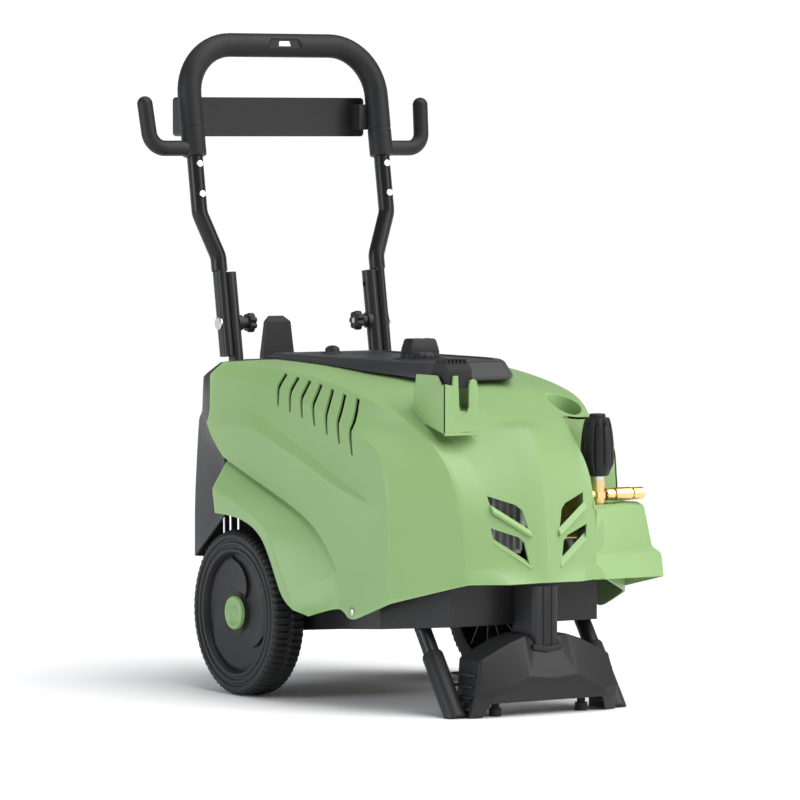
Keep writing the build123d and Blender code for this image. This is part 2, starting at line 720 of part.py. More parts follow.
with BuildPart() as outlet_coupling:
    with Locations(Location((VALVE_X + 13, VALVE_Y, OUTLET_Z), (0, 90, 0))):
        Cylinder(7.5, 67, align=(Align.CENTER, Align.CENTER, Align.MIN))
    for low, high, radius in ((14, 26, 9.2), (30, 58, 9.8), (62, 80, 9.2)):
        with Locations(Location((VALVE_X + low, VALVE_Y, OUTLET_Z), (0, 90, 0))):
            Cylinder(radius, high - low, align=(Align.CENTER, Align.CENTER, Align.MIN))
    with Locations((VALVE_X, VALVE_Y, OUTLET_Z + 3)):
        Cylinder(13.6, 40, mode=Mode.SUBTRACT)
    with Locations(Location((VALVE_X + 50, VALVE_Y, OUTLET_Z), (0, 90, 0))):
        Cylinder(5.5, 30, align=(Align.CENTER, Align.CENTER, Align.MIN), mode=Mode.SUBTRACT)
save(outlet_coupling, "outlet_coupling")

with BuildPart() as inlet_pipe:
    with Locations((HEAD_MID, (INLET[0] + 10 - 200) / 2, INLET[1])):
        Box(20, INLET[0] + 10 + 200, 20)
    with Locations(Location((HEAD_MID + 10, INLET[0], INLET[1]), (0, 90, 0))):
        Cylinder(8, 190 - HEAD_MID, align=(Align.CENTER, Align.CENTER, Align.MIN))
save(inlet_pipe, "inlet_pipe")

with BuildPart() as inlet_coupling:
    with Locations(Location((200, INLET[0], INLET[1]), (0, 90, 0))):
        Cylinder(15, 28, align=(Align.CENTER, Align.CENTER, Align.MIN))
        Cylinder(11, 46, align=(Align.CENTER, Align.CENTER, Align.MIN))
        Cylinder(7, 46, align=(Align.CENTER, Align.CENTER, Align.MIN), mode=Mode.SUBTRACT)
save(inlet_coupling, "inlet_coupling")

# ================================================================ switch and button
with BuildPart() as switch_body:
    with Locations((0, SWITCH_Y, 466)):
        Box(60, 60, 66)
    with Locations((0, SWITCH_Y, 480)):
        Cylinder(9 - 4, 60, mode=Mode.SUBTRACT)
save(switch_body, "switch_body")

with BuildPart() as switch_knob:
    with Locations((0, SWITCH_Y, COVER_TOP + 0.4)):
        Cylinder(29, 12, align=(Align.CENTER, Align.CENTER, Align.MIN))
    with BuildSketch(Plane.XY.offset(COVER_TOP + 12)):
        with Locations((0, SWITCH_Y)):
            Rectangle(46, 24)
    with BuildSketch(Plane.XY.offset(COVER_TOP + 29)):
        with Locations((0, SWITCH_Y)):
            Rectangle(32, 20)
    loft()
save(switch_knob, "switch_knob")

with BuildPart() as switch_spindle:
    with Locations((0, SWITCH_Y, 455)):
        Cylinder(5 - RUN, 51.4, align=(Align.CENTER, Align.CENTER, Align.MIN))
save(switch_spindle, "switch_spindle")

with BuildPart() as reset_button:
    with Locations((0, BUTTON_Y, 492)):
        Cylinder(BUTTON_R, 24, align=(Align.CENTER, Align.CENTER, Align.MIN))
    fillet(reset_button.faces().sort_by(Axis.Z)[-1].edges(), 6)
save(reset_button, "reset_button")

with BuildPart() as breaker:
    with Locations((0, BUTTON_Y, 462)):
        Box(36, 34, 40)
    with Locations((0, BUTTON_Y, 478)):
        Cylinder(BUTTON_R + 0.3, 20, mode=Mode.SUBTRACT)
save(breaker, "breaker")

# ================================================================ wheels
for side, name in ((-1, "left"), (1, "right")):
    with BuildPart() as wheel:
        with BuildSketch(Plane.XZ.offset(-AXLE_Y)):
            with Locations((0, AXLE_Z)):
                ring = [(WHEEL_IN + 4, WHEEL_R), (WHEEL_IN, WHEEL_R - 6), (WHEEL_IN, WHEEL_R - 22),
                        (WHEEL_IN + 20, WHEEL_R - 26), (WHEEL_IN + 20, 40), (WHEEL_IN, 30),
                        (WHEEL_IN, AXLE_R + RUN), (246.6, AXLE_R + RUN), (246.6, 26),
                        (WHEEL_OUT - 10, 40), (WHEEL_OUT - 14, 60), (WHEEL_OUT - 14, WHEEL_R - 30),
                        (WHEEL_OUT, WHEEL_R - 24), (WHEEL_OUT, WHEEL_R - 6),
                        (WHEEL_OUT - 4, WHEEL_R)]
                Polygon(*[(side * x, z) for x, z in ring], align=None)
        revolve(axis=Axis((0, AXLE_Y, AXLE_Z), (1, 0, 0)))
    save(wheel, f"wheel_{name}")

    with BuildPart() as cap:
        with Locations(Location((side * 246.6, AXLE_Y, AXLE_Z), (0, side * 90, 0))):
            Cylinder(25.5, 9, align=(Align.CENTER, Align.CENTER, Align.MIN))
            Cylinder(AXLE_R + 8, 6, align=(Align.CENTER, Align.CENTER, Align.MIN),
                     mode=Mode.SUBTRACT)
    save(cap, f"hub_cap_{name}")

# ================================================================ handle
LAP_LOW, LAP_HIGH = -51.0, 84.0
LAP_WIDTH = 27.0        # flattened lower ends of the handle tube
BEND_LOW, BEND_HIGH = 91.0, 171.0

with BuildPart() as handle_tube:
    with BuildLine() as tube_line:
        FilletPolyline(in_handle(-LAP_X, LAP_HIGH - 3), in_handle(-LAP_X, BEND_LOW + 12),
                       in_handle(-LEG_X, BEND_HIGH), in_handle(-LEG_X, GRIP_W),
                       in_handle(LEG_X, GRIP_W), in_handle(LEG_X, BEND_HIGH),
                       in_handle(LAP_X, BEND_LOW + 12), in_handle(LAP_X, LAP_HIGH - 3),
                       radius=[30, 30, GRIP_CORNER, GRIP_CORNER, 30, 30])
    with BuildSketch(Plane(tube_line.line @ 0, z_dir=tube_line.line % 0)):
        Circle(TUBE_R)
    sweep(path=tube_line.line)
    lap_planes = [Plane(in_handle(side * LAP_X, LAP_LOW), x_dir=(1, 0, 0),
                        z_dir=(0, sin(LEAN), cos(LEAN))) for side in (-1, 1)]
    for plane in lap_planes:
        with BuildSketch(plane):
            SlotOverall(LAP_WIDTH, LAP_THICK, rotation=90)
        extrude(amount=LAP_HIGH - LAP_LOW)
    with BuildSketch(Plane(tube_line.line @ 0, z_dir=tube_line.line % 0)):
        Circle(TUBE_R - TUBE_WALL)
    sweep(path=tube_line.line, mode=Mode.SUBTRACT)
    for plane in lap_planes:
        with BuildSketch(plane.offset(-1)):
            SlotOverall(LAP_WIDTH - 2 * TUBE_WALL, LAP_THICK - 2 * TUBE_WALL, rotation=90)
        extrude(amount=LAP_HIGH - LAP_LOW, mode=Mode.SUBTRACT)
    for side in (-1, 1):
        with Locations(Location(in_handle(side * LAP_X, 0), (0, 90, 0))):
            Cylinder(4.1, 40, mode=Mode.SUBTRACT)
save(handle_tube, "handle_tube")

with BuildPart() as grip_cover:
    with BuildLine() as grip_line:
        FilletPolyline(in_handle(-LEG_X, SLEEVE_W), in_handle(-LEG_X, GRIP_W),
                       in_handle(LEG_X, GRIP_W), in_handle(LEG_X, SLEEVE_W), radius=GRIP_CORNER)
    with BuildSketch(Plane(grip_line.line @ 0, z_dir=grip_line.line % 0)):
        Circle(GRIP_R)
        Circle(TUBE_R + 0.05, mode=Mode.SUBTRACT)
    sweep(path=grip_line.line)
save(grip_cover, "grip_cover")

for side, name in ((-1, "hose_hook_left"), (1, "hose_hook_right")):
    with BuildPart() as hook:
        with BuildLine() as hook_line:
            FilletPolyline(in_handle(side * (LEG_X + 10), SLEEVE_W + 13),
                           in_handle(side * 246, SLEEVE_W + 13),
                           in_handle(side * 250.5, SLEEVE_W + 82), radius=26)
        with BuildSketch(Plane(hook_line.line @ 0, z_dir=hook_line.line % 0)):
            Circle(12)
        sweep(path=hook_line.line)
        with Locations(in_handle(side * 250.5, SLEEVE_W + 82)):
            Sphere(12)
        plane = Plane(in_handle(side * LEG_X, SLEEVE_W - 20), x_dir=(1, 0, 0),
                      z_dir=(0, sin(LEAN), cos(LEAN)))
        with BuildSketch(plane):
            Circle(GRIP_R)
        extrude(amount=80, mode=Mode.SUBTRACT)
    save(hook, name)

PANEL = (165.0, 380.0, 411.0, 838.0, 899.0)     # half length, y front, y back, z low, z high
with BuildPart() as handle_panel:
    half, y_front, y_back, z_low, z_high = PANEL
    with BuildSketch(Plane.XZ.offset(-y_back)):
        with Locations((0, (z_low + z_high) / 2)):
            RectangleRounded(2 * half, z_high - z_low, 6)
    extrude(amount=y_back - y_front)
    with BuildSketch(Plane.XZ.offset(-y_back)):
        with Locations((0, (z_low + z_high) / 2)):
            RectangleRounded(2 * half - 8, z_high - z_low - 8, 4)
    extrude(amount=y_back - y_front - 4, mode=Mode.SUBTRACT)
    # Arms to the grip cover.
    for side in (-1, 1):
        with Locations((side * 152, y_front - 10, (z_low + z_high) / 2)):
            Box(26, 40, 40)
    for side in (-1, 1):
        plane = Plane(in_handle(side * LEG_X, 200), x_dir=(1, 0, 0),
                      z_dir=(0, sin(LEAN), cos(LEAN)))
        with BuildSketch(plane):
            Circle(GRIP_R)
        extrude(amount=200, mode=Mode.SUBTRACT)
save(handle_panel, "handle_panel")

with BuildPart() as handle_screws:
    for side in (-1, 1):
        for w in (200, 247):
            with BuildSketch(Plane(HANDLE.from_local_coords(Vector(side * LEG_X, w, TUBE_R - 2)),
                                   z_dir=HANDLE.z_dir)):
                Circle(5)
            extrude(amount=4.5)
    add(handle_tube.part, mode=Mode.SUBTRACT)
save(handle_screws, "handle_screws")

with BuildPart() as clamp_bolts:
    for side in (-1, 1):
        outer = LAP_X + LAP_THICK / 2
        with Locations(Location((side * outer, PIVOT[1], PIVOT[2]), (0, side * 90, 0))):
            Cylinder(10, 4, align=(Align.CENTER, Align.CENTER, Align.MIN))
        with Locations(Location((side * (outer + 1), PIVOT[1], PIVOT[2]), (0, -side * 90, 0))):
            Cylinder(4, 62, align=(Align.CENTER, Align.CENTER, Align.MIN))
    chamfer(clamp_bolts.edges().filter_by(GeomType.CIRCLE).sort_by(Axis.X)[-1], 1.6)
    chamfer(clamp_bolts.edges().filter_by(GeomType.CIRCLE).sort_by(Axis.X)[0], 1.6)
save(clamp_bolts, "clamp_bolts")

# Saddle washers on the inside of the upright tubes, and the star knobs that clamp them.
SADDLE_X = UPRIGHT_X - UPRIGHT_R - 2.5
with BuildPart() as clamp_saddles:
    for side in (-1, 1):
        with Locations(Location((side * SADDLE_X, PIVOT[1], PIVOT[2]), (0, side * 90, 0))):
            Cylinder(12, 8, align=(Align.CENTER, Align.CENTER, Align.MIN))
        with Locations(Location((side * UPRIGHT_X, PIVOT[1], PIVOT[2]), (-degrees(LEAN), 0, 0))):
            Cylinder(UPRIGHT_R, 60, mode=Mode.SUBTRACT)
        with Locations(Location((side * SADDLE_X, PIVOT[1], PIVOT[2]), (0, 90, 0))):
            Cylinder(4.1, 60, mode=Mode.SUBTRACT)
save(clamp_saddles, "clamp_saddles")

for side, name in ((-1, "star_knob_left"), (1, "star_knob_right")):
    with BuildPart() as star_knob:
        inner = SADDLE_X - 0.5
        with Locations(Location((side * inner, PIVOT[1], PIVOT[2]), (0, -side * 90, 0))):
            Cylinder(9.5, 10, align=(Align.CENTER, Align.CENTER, Align.MIN))
        with BuildSketch(Plane((side * (inner - 10), PIVOT[1], PIVOT[2]), x_dir=(0, 1, 0),
                               z_dir=(-side, 0, 0))):
            Circle(15.5)
            with PolarLocations(18.5, 7):
                Circle(5, mode=Mode.SUBTRACT)
        extrude(amount=12)
        with Locations(Location((side * inner, PIVOT[1], PIVOT[2]), (0, 90, 0))):
            Cylinder(4 + RUN, 80, mode=Mode.SUBTRACT)
    save(star_knob, name)
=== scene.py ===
"""Looks for the pressure washer: moulded covers, wheels, grips, knobs, materials, light and camera.

Shapes are written in millimetres in the CAD frame and scaled to metres as they are made.
"""
from math import atan, cos, pi, radians, sin

import bmesh
import bpy
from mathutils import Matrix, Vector
from mathutils.bvhtree import BVHTree


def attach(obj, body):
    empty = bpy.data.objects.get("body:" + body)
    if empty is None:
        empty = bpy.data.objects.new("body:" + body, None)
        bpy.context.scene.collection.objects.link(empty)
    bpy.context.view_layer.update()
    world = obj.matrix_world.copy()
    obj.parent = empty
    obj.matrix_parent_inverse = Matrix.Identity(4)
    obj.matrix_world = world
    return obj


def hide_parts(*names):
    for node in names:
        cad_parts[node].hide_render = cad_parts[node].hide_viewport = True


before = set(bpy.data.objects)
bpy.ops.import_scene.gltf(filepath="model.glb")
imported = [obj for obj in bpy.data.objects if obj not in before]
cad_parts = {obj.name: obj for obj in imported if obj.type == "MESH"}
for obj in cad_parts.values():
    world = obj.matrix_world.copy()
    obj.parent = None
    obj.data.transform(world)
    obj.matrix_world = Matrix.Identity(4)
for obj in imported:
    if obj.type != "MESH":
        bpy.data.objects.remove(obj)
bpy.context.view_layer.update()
MM = 0.001
FRONT = (0, -1, 0)
VALVE_X, VALVE_Y = 140, -314    # axis of the outlet valve and its knob
SWITCH_Y = -47                  # main switch, on the middle plane
BUTTON_Y = 205                  # reset button, on the middle plane
AXLE_Y, AXLE_Z = 76, 124.5
REAR_GAPS = (-139.6, -127.1, -112.8, 112.8, 127.1, 139.6)

# ================================================================ materials
def material(name, colour, rough, metallic=0.0, vary=0.12, grain=900.0, depth=0.00004,
             rough_vary=0.08, wear=0.0, coat=0.0, shine=0.5):
    """Moulded or metal finish: uneven colour, fine surface grain, uneven gloss, rubbed edges."""
    mat = bpy.data.materials.new(name)
    mat.use_nodes = True
    tree = mat.node_tree
    shader = tree.nodes["Principled BSDF"]
    shader.inputs["Metallic"].default_value = metallic
    shader.inputs["Coat Weight"].default_value = coat
    shader.inputs["Specular IOR Level"].default_value = shine
    link = tree.links.new
    place = tree.nodes.new("ShaderNodeTexCoord")
    cloud = tree.nodes.new("ShaderNodeTexNoise")
    cloud.inputs["Scale"].default_value = 9.0
    cloud.inputs["Detail"].default_value = 6.0
    link(place.outputs["Object"], cloud.inputs["Vector"])
    tint = tree.nodes.new("ShaderNodeMix")
    tint.data_type = "RGBA"
    tint.inputs["A"].default_value = (*[c * (1 - vary) for c in colour], 1)
    tint.inputs["B"].default_value = (*[min(c * (1 + vary), 1) for c in colour], 1)
    link(cloud.outputs["Fac"], tint.inputs["Factor"])
    out = tint.outputs["Result"]
    if wear:
        shape = tree.nodes.new("ShaderNodeNewGeometry")
        rub = tree.nodes.new("ShaderNodeMapRange")
        rub.inputs["From Min"].default_value = 0.53
        rub.inputs["From Max"].default_value = 0.62
        rub.inputs["To Max"].default_value = wear
        link(shape.outputs["Pointiness"], rub.inputs["Value"])
        edge = tree.nodes.new("ShaderNodeMix")
        edge.data_type = "RGBA"
        edge.inputs["B"].default_value = (*[min(c * 2.2 + 0.03, 1) for c in colour], 1)
        link(rub.outputs["Result"], edge.inputs["Factor"])
        link(out, edge.inputs["A"])
        out = edge.outputs["Result"]
    link(out, shader.inputs["Base Color"])
    fine = tree.nodes.new("ShaderNodeTexNoise")
    fine.inputs["Scale"].default_value = grain
    fine.inputs["Detail"].default_value = 3.0
    link(place.outputs["Object"], fine.inputs["Vector"])
    gloss = tree.nodes.new("ShaderNodeMapRange")
    gloss.inputs["To Min"].default_value = rough - rough_vary
    gloss.inputs["To Max"].default_value = rough + rough_vary
    link(cloud.outputs["Fac"], gloss.inputs["Value"])
    link(gloss.outputs["Result"], shader.inputs["Roughness"])
    bump = tree.nodes.new("ShaderNodeBump")
    bump.inputs["Strength"].default_value = 0.6
    bump.inputs["Distance"].default_value = depth
    link(fine.outputs["Fac"], bump.inputs["Height"])
    link(bump.outputs["Normal"], shader.inputs["Normal"])
    return mat


FINISH = {
    "green_plastic": material("moulded_green", (0.222, 0.362, 0.142), 0.42, vary=0.05, grain=1400,
                              depth=0.00002, wear=0.15),
    "dark_plastic": material("moulded_dark_grey", (0.024, 0.025, 0.028), 0.45, vary=0.08,
                             grain=1600, depth=0.00005, wear=0.25, shine=0.3),
    "black_plastic": material("moulded_black", (0.011, 0.011, 0.012), 0.46, vary=0.15,
                              grain=1500, depth=0.00005, wear=0.3, shine=0.3),
    "grip_plastic": material("grip_black", (0.010, 0.010, 0.011), 0.5, vary=0.15, grain=700,
                             depth=0.00012, wear=0.3, shine=0.3),
    "black_rubber": material("rubber_black", (0.020, 0.020, 0.021), 0.75, vary=0.2, grain=1200,
                             depth=0.00008, shine=0.3),
    "black_steel": material("powder_coat_black", (0.008, 0.008, 0.009), 0.3, vary=0.15,
                            grain=420, depth=0.00006, wear=0.25, shine=0.3),
    "zinc_steel": material("zinc_plate", (0.60, 0.60, 0.58), 0.34, metallic=1.0, vary=0.1,
                           grain=260, depth=0.00002),
    "bearing_steel": material("ground_steel", (0.66, 0.66, 0.67), 0.24, metallic=1.0, vary=0.05,
                              grain=2200, depth=0.00001),
    "cast_aluminium": material("cast_aluminium", (0.62, 0.62, 0.63), 0.46, metallic=1.0,
                               vary=0.12, grain=650, depth=0.00014),
    "brass": material("machined_brass", (0.83, 0.60, 0.27), 0.26, metallic=1.0, vary=0.1,
                      grain=1800, depth=0.00001),
    "ceramic_white": material("ceramic_white", (0.8, 0.79, 0.75), 0.2, vary=0.03),
}
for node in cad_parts.values():
    for index, old in enumerate(node.data.materials):
        node.material_slots[index].material = FINISH[old.name.split(".")[0]]


# ================================================================ mesh tools
def raw(name, verts, faces):
    mesh = bpy.data.meshes.new(name)
    mesh.from_pydata([Vector(v) * MM for v in verts], [], faces)
    mesh.validate()
    obj = bpy.data.objects.new(name, mesh)
    bpy.context.scene.collection.objects.link(obj)
    return obj


def tidy(obj):
    """Weld the points and turn every face outward."""
    bm = bmesh.new()
    bm.from_mesh(obj.data)
    bmesh.ops.remove_doubles(bm, verts=bm.verts, dist=0.00002)
    bmesh.ops.dissolve_degenerate(bm, edges=bm.edges, dist=0.00002)
    bmesh.ops.recalc_face_normals(bm, faces=bm.faces)
    bm.to_mesh(obj.data)
    bm.free()
    return obj


def face_out(obj, way):
    """Turn an open shell's faces so that the one furthest along way looks that way."""
    way = Vector(way)
    bm = bmesh.new()
    bm.from_mesh(obj.data)
    bmesh.ops.recalc_face_normals(bm, faces=bm.faces)
    far = max(bm.faces, key=lambda f: f.calc_center_median().dot(way))
    if far.normal.dot(way) < 0:
        bmesh.ops.reverse_faces(bm, faces=bm.faces)
    bm.to_mesh(obj.data)
    bm.free()
    return obj


def apply(obj, kind, **settings):
    modifier = obj.modifiers.new(kind, kind)
    for key, value in settings.items():
        setattr(modifier, key, value)
    bpy.context.view_layer.update()
    shape = obj.evaluated_get(bpy.context.evaluated_depsgraph_get())
    mesh = bpy.data.meshes.new_from_object(shape)
    obj.modifiers.clear()
    obj.data = mesh
    return obj


def drop(obj):
    bpy.data.objects.remove(obj)


def cut(obj, cutter, how="DIFFERENCE"):
    apply(obj, "BOOLEAN", object=cutter, operation=how, solver="EXACT")
    drop(cutter)
    return obj


def bevel(obj, width, segments=2, angle=30):
    return apply(obj, "BEVEL", width=width * MM, segments=segments, limit_method="ANGLE",
                 angle_limit=radians(angle), harden_normals=False)


def join(name, *objs):
    bm = bmesh.new()
    for obj in objs:
        bm.from_mesh(obj.data)
    mesh = bpy.data.meshes.new(name)
    bm.to_mesh(mesh)
    bm.free()
    for obj in objs:
        drop(obj)
    joined = bpy.data.objects.new(name, mesh)
    bpy.context.scene.collection.objects.link(joined)
    return joined


def finish_piece(obj, name, slot, body, *nodes, smooth=32):
    obj.name = name
    obj.data.materials.clear()
    obj.data.materials.append(FINISH[slot])
    obj.data.shade_smooth()
    obj.data.set_sharp_from_angle(angle=radians(smooth))
    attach(obj, body)
    if nodes:
        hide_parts(*nodes)
    return obj


def prism(points, axis, low, high):
    """A polygon carried along an axis. Points are the two other coordinates, in x, y, z order."""
    def place(a, b, c):
        return {"X": (c, a, b), "Y": (a, c, b), "Z": (a, b, c)}[axis]
    n = len(points)
    verts = [place(a, b, low) for a, b in points] + [place(a, b, high) for a, b in points]
    faces = [tuple(range(n)), tuple(range(2 * n - 1, n - 1, -1))]
    faces += [(i, (i + 1) % n, n + (i + 1) % n, n + i) for i in range(n)]
    return tidy(raw("prism", verts, faces))


def block(x, y, z):
    return prism([(x[0], y[0]), (x[1], y[0]), (x[1], y[1]), (x[0], y[1])], "Z", *z)


def loft(rings, closed=False, caps=True):
    """Rings of points, all the same length, joined one to the next."""
    n = len(rings[0])
    verts = [p for ring in rings for p in ring]
    faces = []
    last = len(rings) if closed else len(rings) - 1
    for r in range(last):
        s = (r + 1) % len(rings)
        faces += [(r * n + i, r * n + (i + 1) % n, s * n + (i + 1) % n, s * n + i)
                  for i in range(n)]
    if caps and not closed:
        faces += [tuple(range(n)), tuple(range(len(verts) - n, len(verts)))]
    return tidy(raw("loft", verts, faces))


def lathe(profile, centre, axis, segments=64, radius=None):
    """Turn (along, radius) points about an axis. radius(r, index, angle) may shape each point."""
    along = Vector(axis).normalized()
    side = along.orthogonal().normalized() if abs(along.z) > 0.9 else Vector((0, 0, 1))
    across = along.cross(side)
    rings = []
    for index, (a, r) in enumerate(profile):
        ring = []
        for k in range(segments):
            t = 2 * pi * k / segments
            rr = radius(r, index, t) if radius else r
            ring.append(Vector(centre) + along * a + (side * cos(t) + across * sin(t)) * rr)
        rings.append(ring)
    return loft(rings)


def tube(path, radius, segments=24):
    """A round bar along points. radius is one number or one for each point."""
    points = [Vector(p) for p in path]
    rings = []
    normal = None
    for i, p in enumerate(points):
        way = (points[min(i + 1, len(points) - 1)] - points[max(i - 1, 0)]).normalized()
        if normal is None:
            normal = way.orthogonal().normalized()
        normal = (normal - way * normal.dot(way)).normalized()
        other = way.cross(normal)
        r = radius[i] if isinstance(radius, (list, tuple)) else radius
        rings.append([p + (normal * cos(2 * pi * k / segments)
                           + other * sin(2 * pi * k / segments)) * r for k in range(segments)])
    return loft(rings)


def rounded_path(points, radius, steps=8):
    """Corners of a polyline replaced by arcs."""
    points = [Vector(p) for p in points]
    out = [points[0]]
    for a, b, c in zip(points, points[1:], points[2:]):
        u, v = (a - b).normalized(), (c - b).normalized()
        half = u.angle(v) / 2
        reach = radius / (sin(half) / cos(half))
        centre = b + (u + v).normalized() * (radius / sin(half))
        start, end = b + u * reach - centre, b + v * reach - centre
        swing = start.angle(end)
        for k in range(steps + 1):
            f = k / steps
            out.append(centre + (start * sin((1 - f) * swing) + end * sin(f * swing)) / sin(swing))
    out.append(points[-1])
    return out


LEAN = atan(0.1684)
PIVOT = (0.0, 290.5, 550.5)


def in_handle(x, w, out=0.0):
    """Point of the leaning handle plane: across, up from the pivot, and forward of the plane."""
    return Vector((x, PIVOT[1] + w * sin(LEAN) - out * cos(LEAN),
                   PIVOT[2] + w * cos(LEAN) + out * sin(LEAN)))


# ================================================================ hood
RIDGE = [(0, -393, 192), (0, -393, 214), (0, -390, 262), (0, -384, 312), (0, -377, 346),
         (0, -367, 376), (0, -352, 403), (0, -330, 428), (0, -298, 446), (0, -258, 462),
         (0, -210, 484), (0, -60, 488), (0, 60, 494), (0, 190, 497)]
BROW = [(66, -390, 192), (82, -374, 214), (88, -371, 262), (88, -361, 312), (91, -348, 346),
        (98, -326, 374), (108, -304, 395), (116, -282, 410), (120, -255, 425), (116, -215, 450),
        (112, -165, 478), (110, -40, 489), (110, 60, 496), (110, 190, 498)]
SHOULDER = [(120, -366, 192), (121, -361, 214), (122, -358, 262), (128, -352, 312),
            (132, -343, 346), (139, -328, 374), (147, -309, 396), (155, -285, 411),
            (164, -258, 427), (176, -222, 447), (185, -160, 463), (186, -60, 481),
            (184, 50, 492), (205, 187, 496)]
BEND = [(208, -291, 163), (207, -292, 214), (207, -292, 262), (208, -290, 312), (208, -283, 346),
        (207, -266, 374), (206, -240, 392), (206, -212, 402), (206, -180, 409),
        (206, -137, 421), (206, -70, 440), (203, 20, 461), (210, 120, 474), (222, 199, 477)]
SIDE = {
    # Swept band: upper line E, lower line F.
    "E0": (213, -265, 299), "E1": (213, -245, 306), "E2": (213, -222, 315),
    "E3": (213, -200, 323), "E4": (213, -172, 332), "E5": (213, -130, 348),
    "E6": (213, -70, 371), "E7": (213, 24, 405), "E8": (217, 110, 434),
    "F2": (219, -222, 311), "F3": (221, -198, 318), "F4": (222, -169, 325),
    "F5": (223, -128, 340), "F6": (224, -67, 361), "F7": (224, 12, 384), "F8": (223, 80, 408),
    # Rear edge and the faint line that leaves it.
    "S1": (223, 196, 419), "S2": (225, 204, 404), "S3": (225, 191, 382),
    "L1": (225, 150, 389), "L2": (224, 60, 361),
    # Wing line over the fender, and the foot of its step.
    "C0": (225, 155, 354), "C1": (225, 69, 326), "C2": (225, -11, 303), "C3": (225, -76, 281),
    "C4": (224, -118, 259), "C5": (223, -145, 233), "C6": (221, -163, 211),
    "C7": (220, -166, 197),
    "P0": (219, 152, 349), "P1": (218, 68, 321), "P2": (218, -12, 297.5), "P3": (218, -75, 275),
    "P4": (217, -114, 254), "P5": (217, -140, 229), "P6": (218, -159, 209),
    # Fender crown, wheel arch, lower corner.
    "D0": (262, 124, 309), "D1": (262, 51, 294), "D2": (262, -8, 273), "D3": (262, -31, 258),
    "D4": (262, -48, 237), "D5": (262, -62, 213), "D6": (262, -82, 184), "D7": (262, -101, 160),
    "D8": (262, -112, 143), "Q": (255, -142, 138),
    "W0": (259, 121, 272), "W1": (259, 62, 271), "W2": (259, 15, 261), "W3": (259, -14, 245),
    "W4": (259, -31, 226), "W5": (259, -45, 205), "W6": (259, -61, 179), "W7": (259, -77, 155),
    # Skirt line, panel below the swept band, tab with the screw.
    "G1": (212, -248, 214), "H1": (215, -205, 213), "G2": (212, -248, 262),
    "H2": (216, -205, 262),
    "T1": (220, -221, 137), "T2": (220, -208, 134), "T3": (220, -196, 137),
    "T4": (221, -183, 148), "T5": (223, -166, 148),
}
SIDE.update({f"B{i}": p for i, p in enumerate(BEND)})
SIDE_FACES = """B0 B1 G1 T1;G1 H1 T2 T1;H1 C6 C7 T5 T4;H1 T4 T3 T2;B1 B2 G2 G1;G2 H2 H1 G1;
B2 B3 E0 E1 G2;E1 F2 F3 H2 G2;F3 F4 C5 H2;H2 C5 C6 H1;F4 F5 C4 C5;F5 F6 C3 C4;F6 F7 C2 C3;
F7 L2 C1 C2;F7 F8 L1 L2;F8 S2 L1;L2 L1 C0 C1;L1 S2 S3;L1 S3 C0;
B3 B4 E0;B4 B5 E1 E0;B5 B6 E2 E1;B6 B7 E3 E2;B7 B8 E4 E3;B8 B9 E5 E4;B9 B10 E6 E5;
B10 B11 E7 E6;B11 B12 E8 E7;B12 B13 S1 E8;
E1 E2 F2;E2 E3 F3 F2;E3 E4 F4 F3;E4 E5 F5 F4;E5 E6 F6 F5;E6 E7 F7 F6;E7 E8 F8 F7;E8 S1 S2 F8;
C0 P0 P1 C1;C1 P1 P2 C2;C2 P2 P3 C3;C3 P3 P4 C4;C4 P4 P5 C5;C5 P5 P6 C6;C6 P6 C7;
P0 D0 D1 P1;P1 D1 D2 P2;P2 D2 D3 P3;P3 D3 D4 P4;P4 D4 D5 P5;P5 D5 D6 P6;P6 D6 D7 C7;
C7 D7 D8 Q T5;D0 W0 W1 D1;D1 W1 W2 D2;D2 W2 W3 D3;D3 W3 W4 D4;D4 W4 W5 D5;D5 W5 W6 D6;
D6 W6 W7 D7;D7 W7 D8"""
CREASES = {
    "C0 C1 C2 C3 C4 C5 C6 C7": 1.0, "P0 P1 P2 P3 P4 P5 P6 C7": 1.0,
    "D0 D1 D2 D3 D4 D5 D6 D7 D8": 0.92, "W0 W1 W2 W3 W4 W5 W6 W7 D8": 1.0,
    "E1 E2 E3 E4 E5 E6 E7": 1.0, "F2 F3 F4 F5 F6 F7": 1.0, "E7 E8": 0.7, "F7 F8": 0.7,
    "S2 L1 L2": 0.7, "B1 G1 H1 C6": 1.0, "B0 B1 B2 B3 B4": 0.95, "B4 B5 B6 B7": 0.9,
    "B7 B8 B9 B10 B11": 0.92, "B11 B12 B13": 0.8,
    "B0 T1 T2 T3 T4 T5 Q D8": 1.0, "B13 S1 S2 S3 C0 P0 D0 W0": 1.0,
}


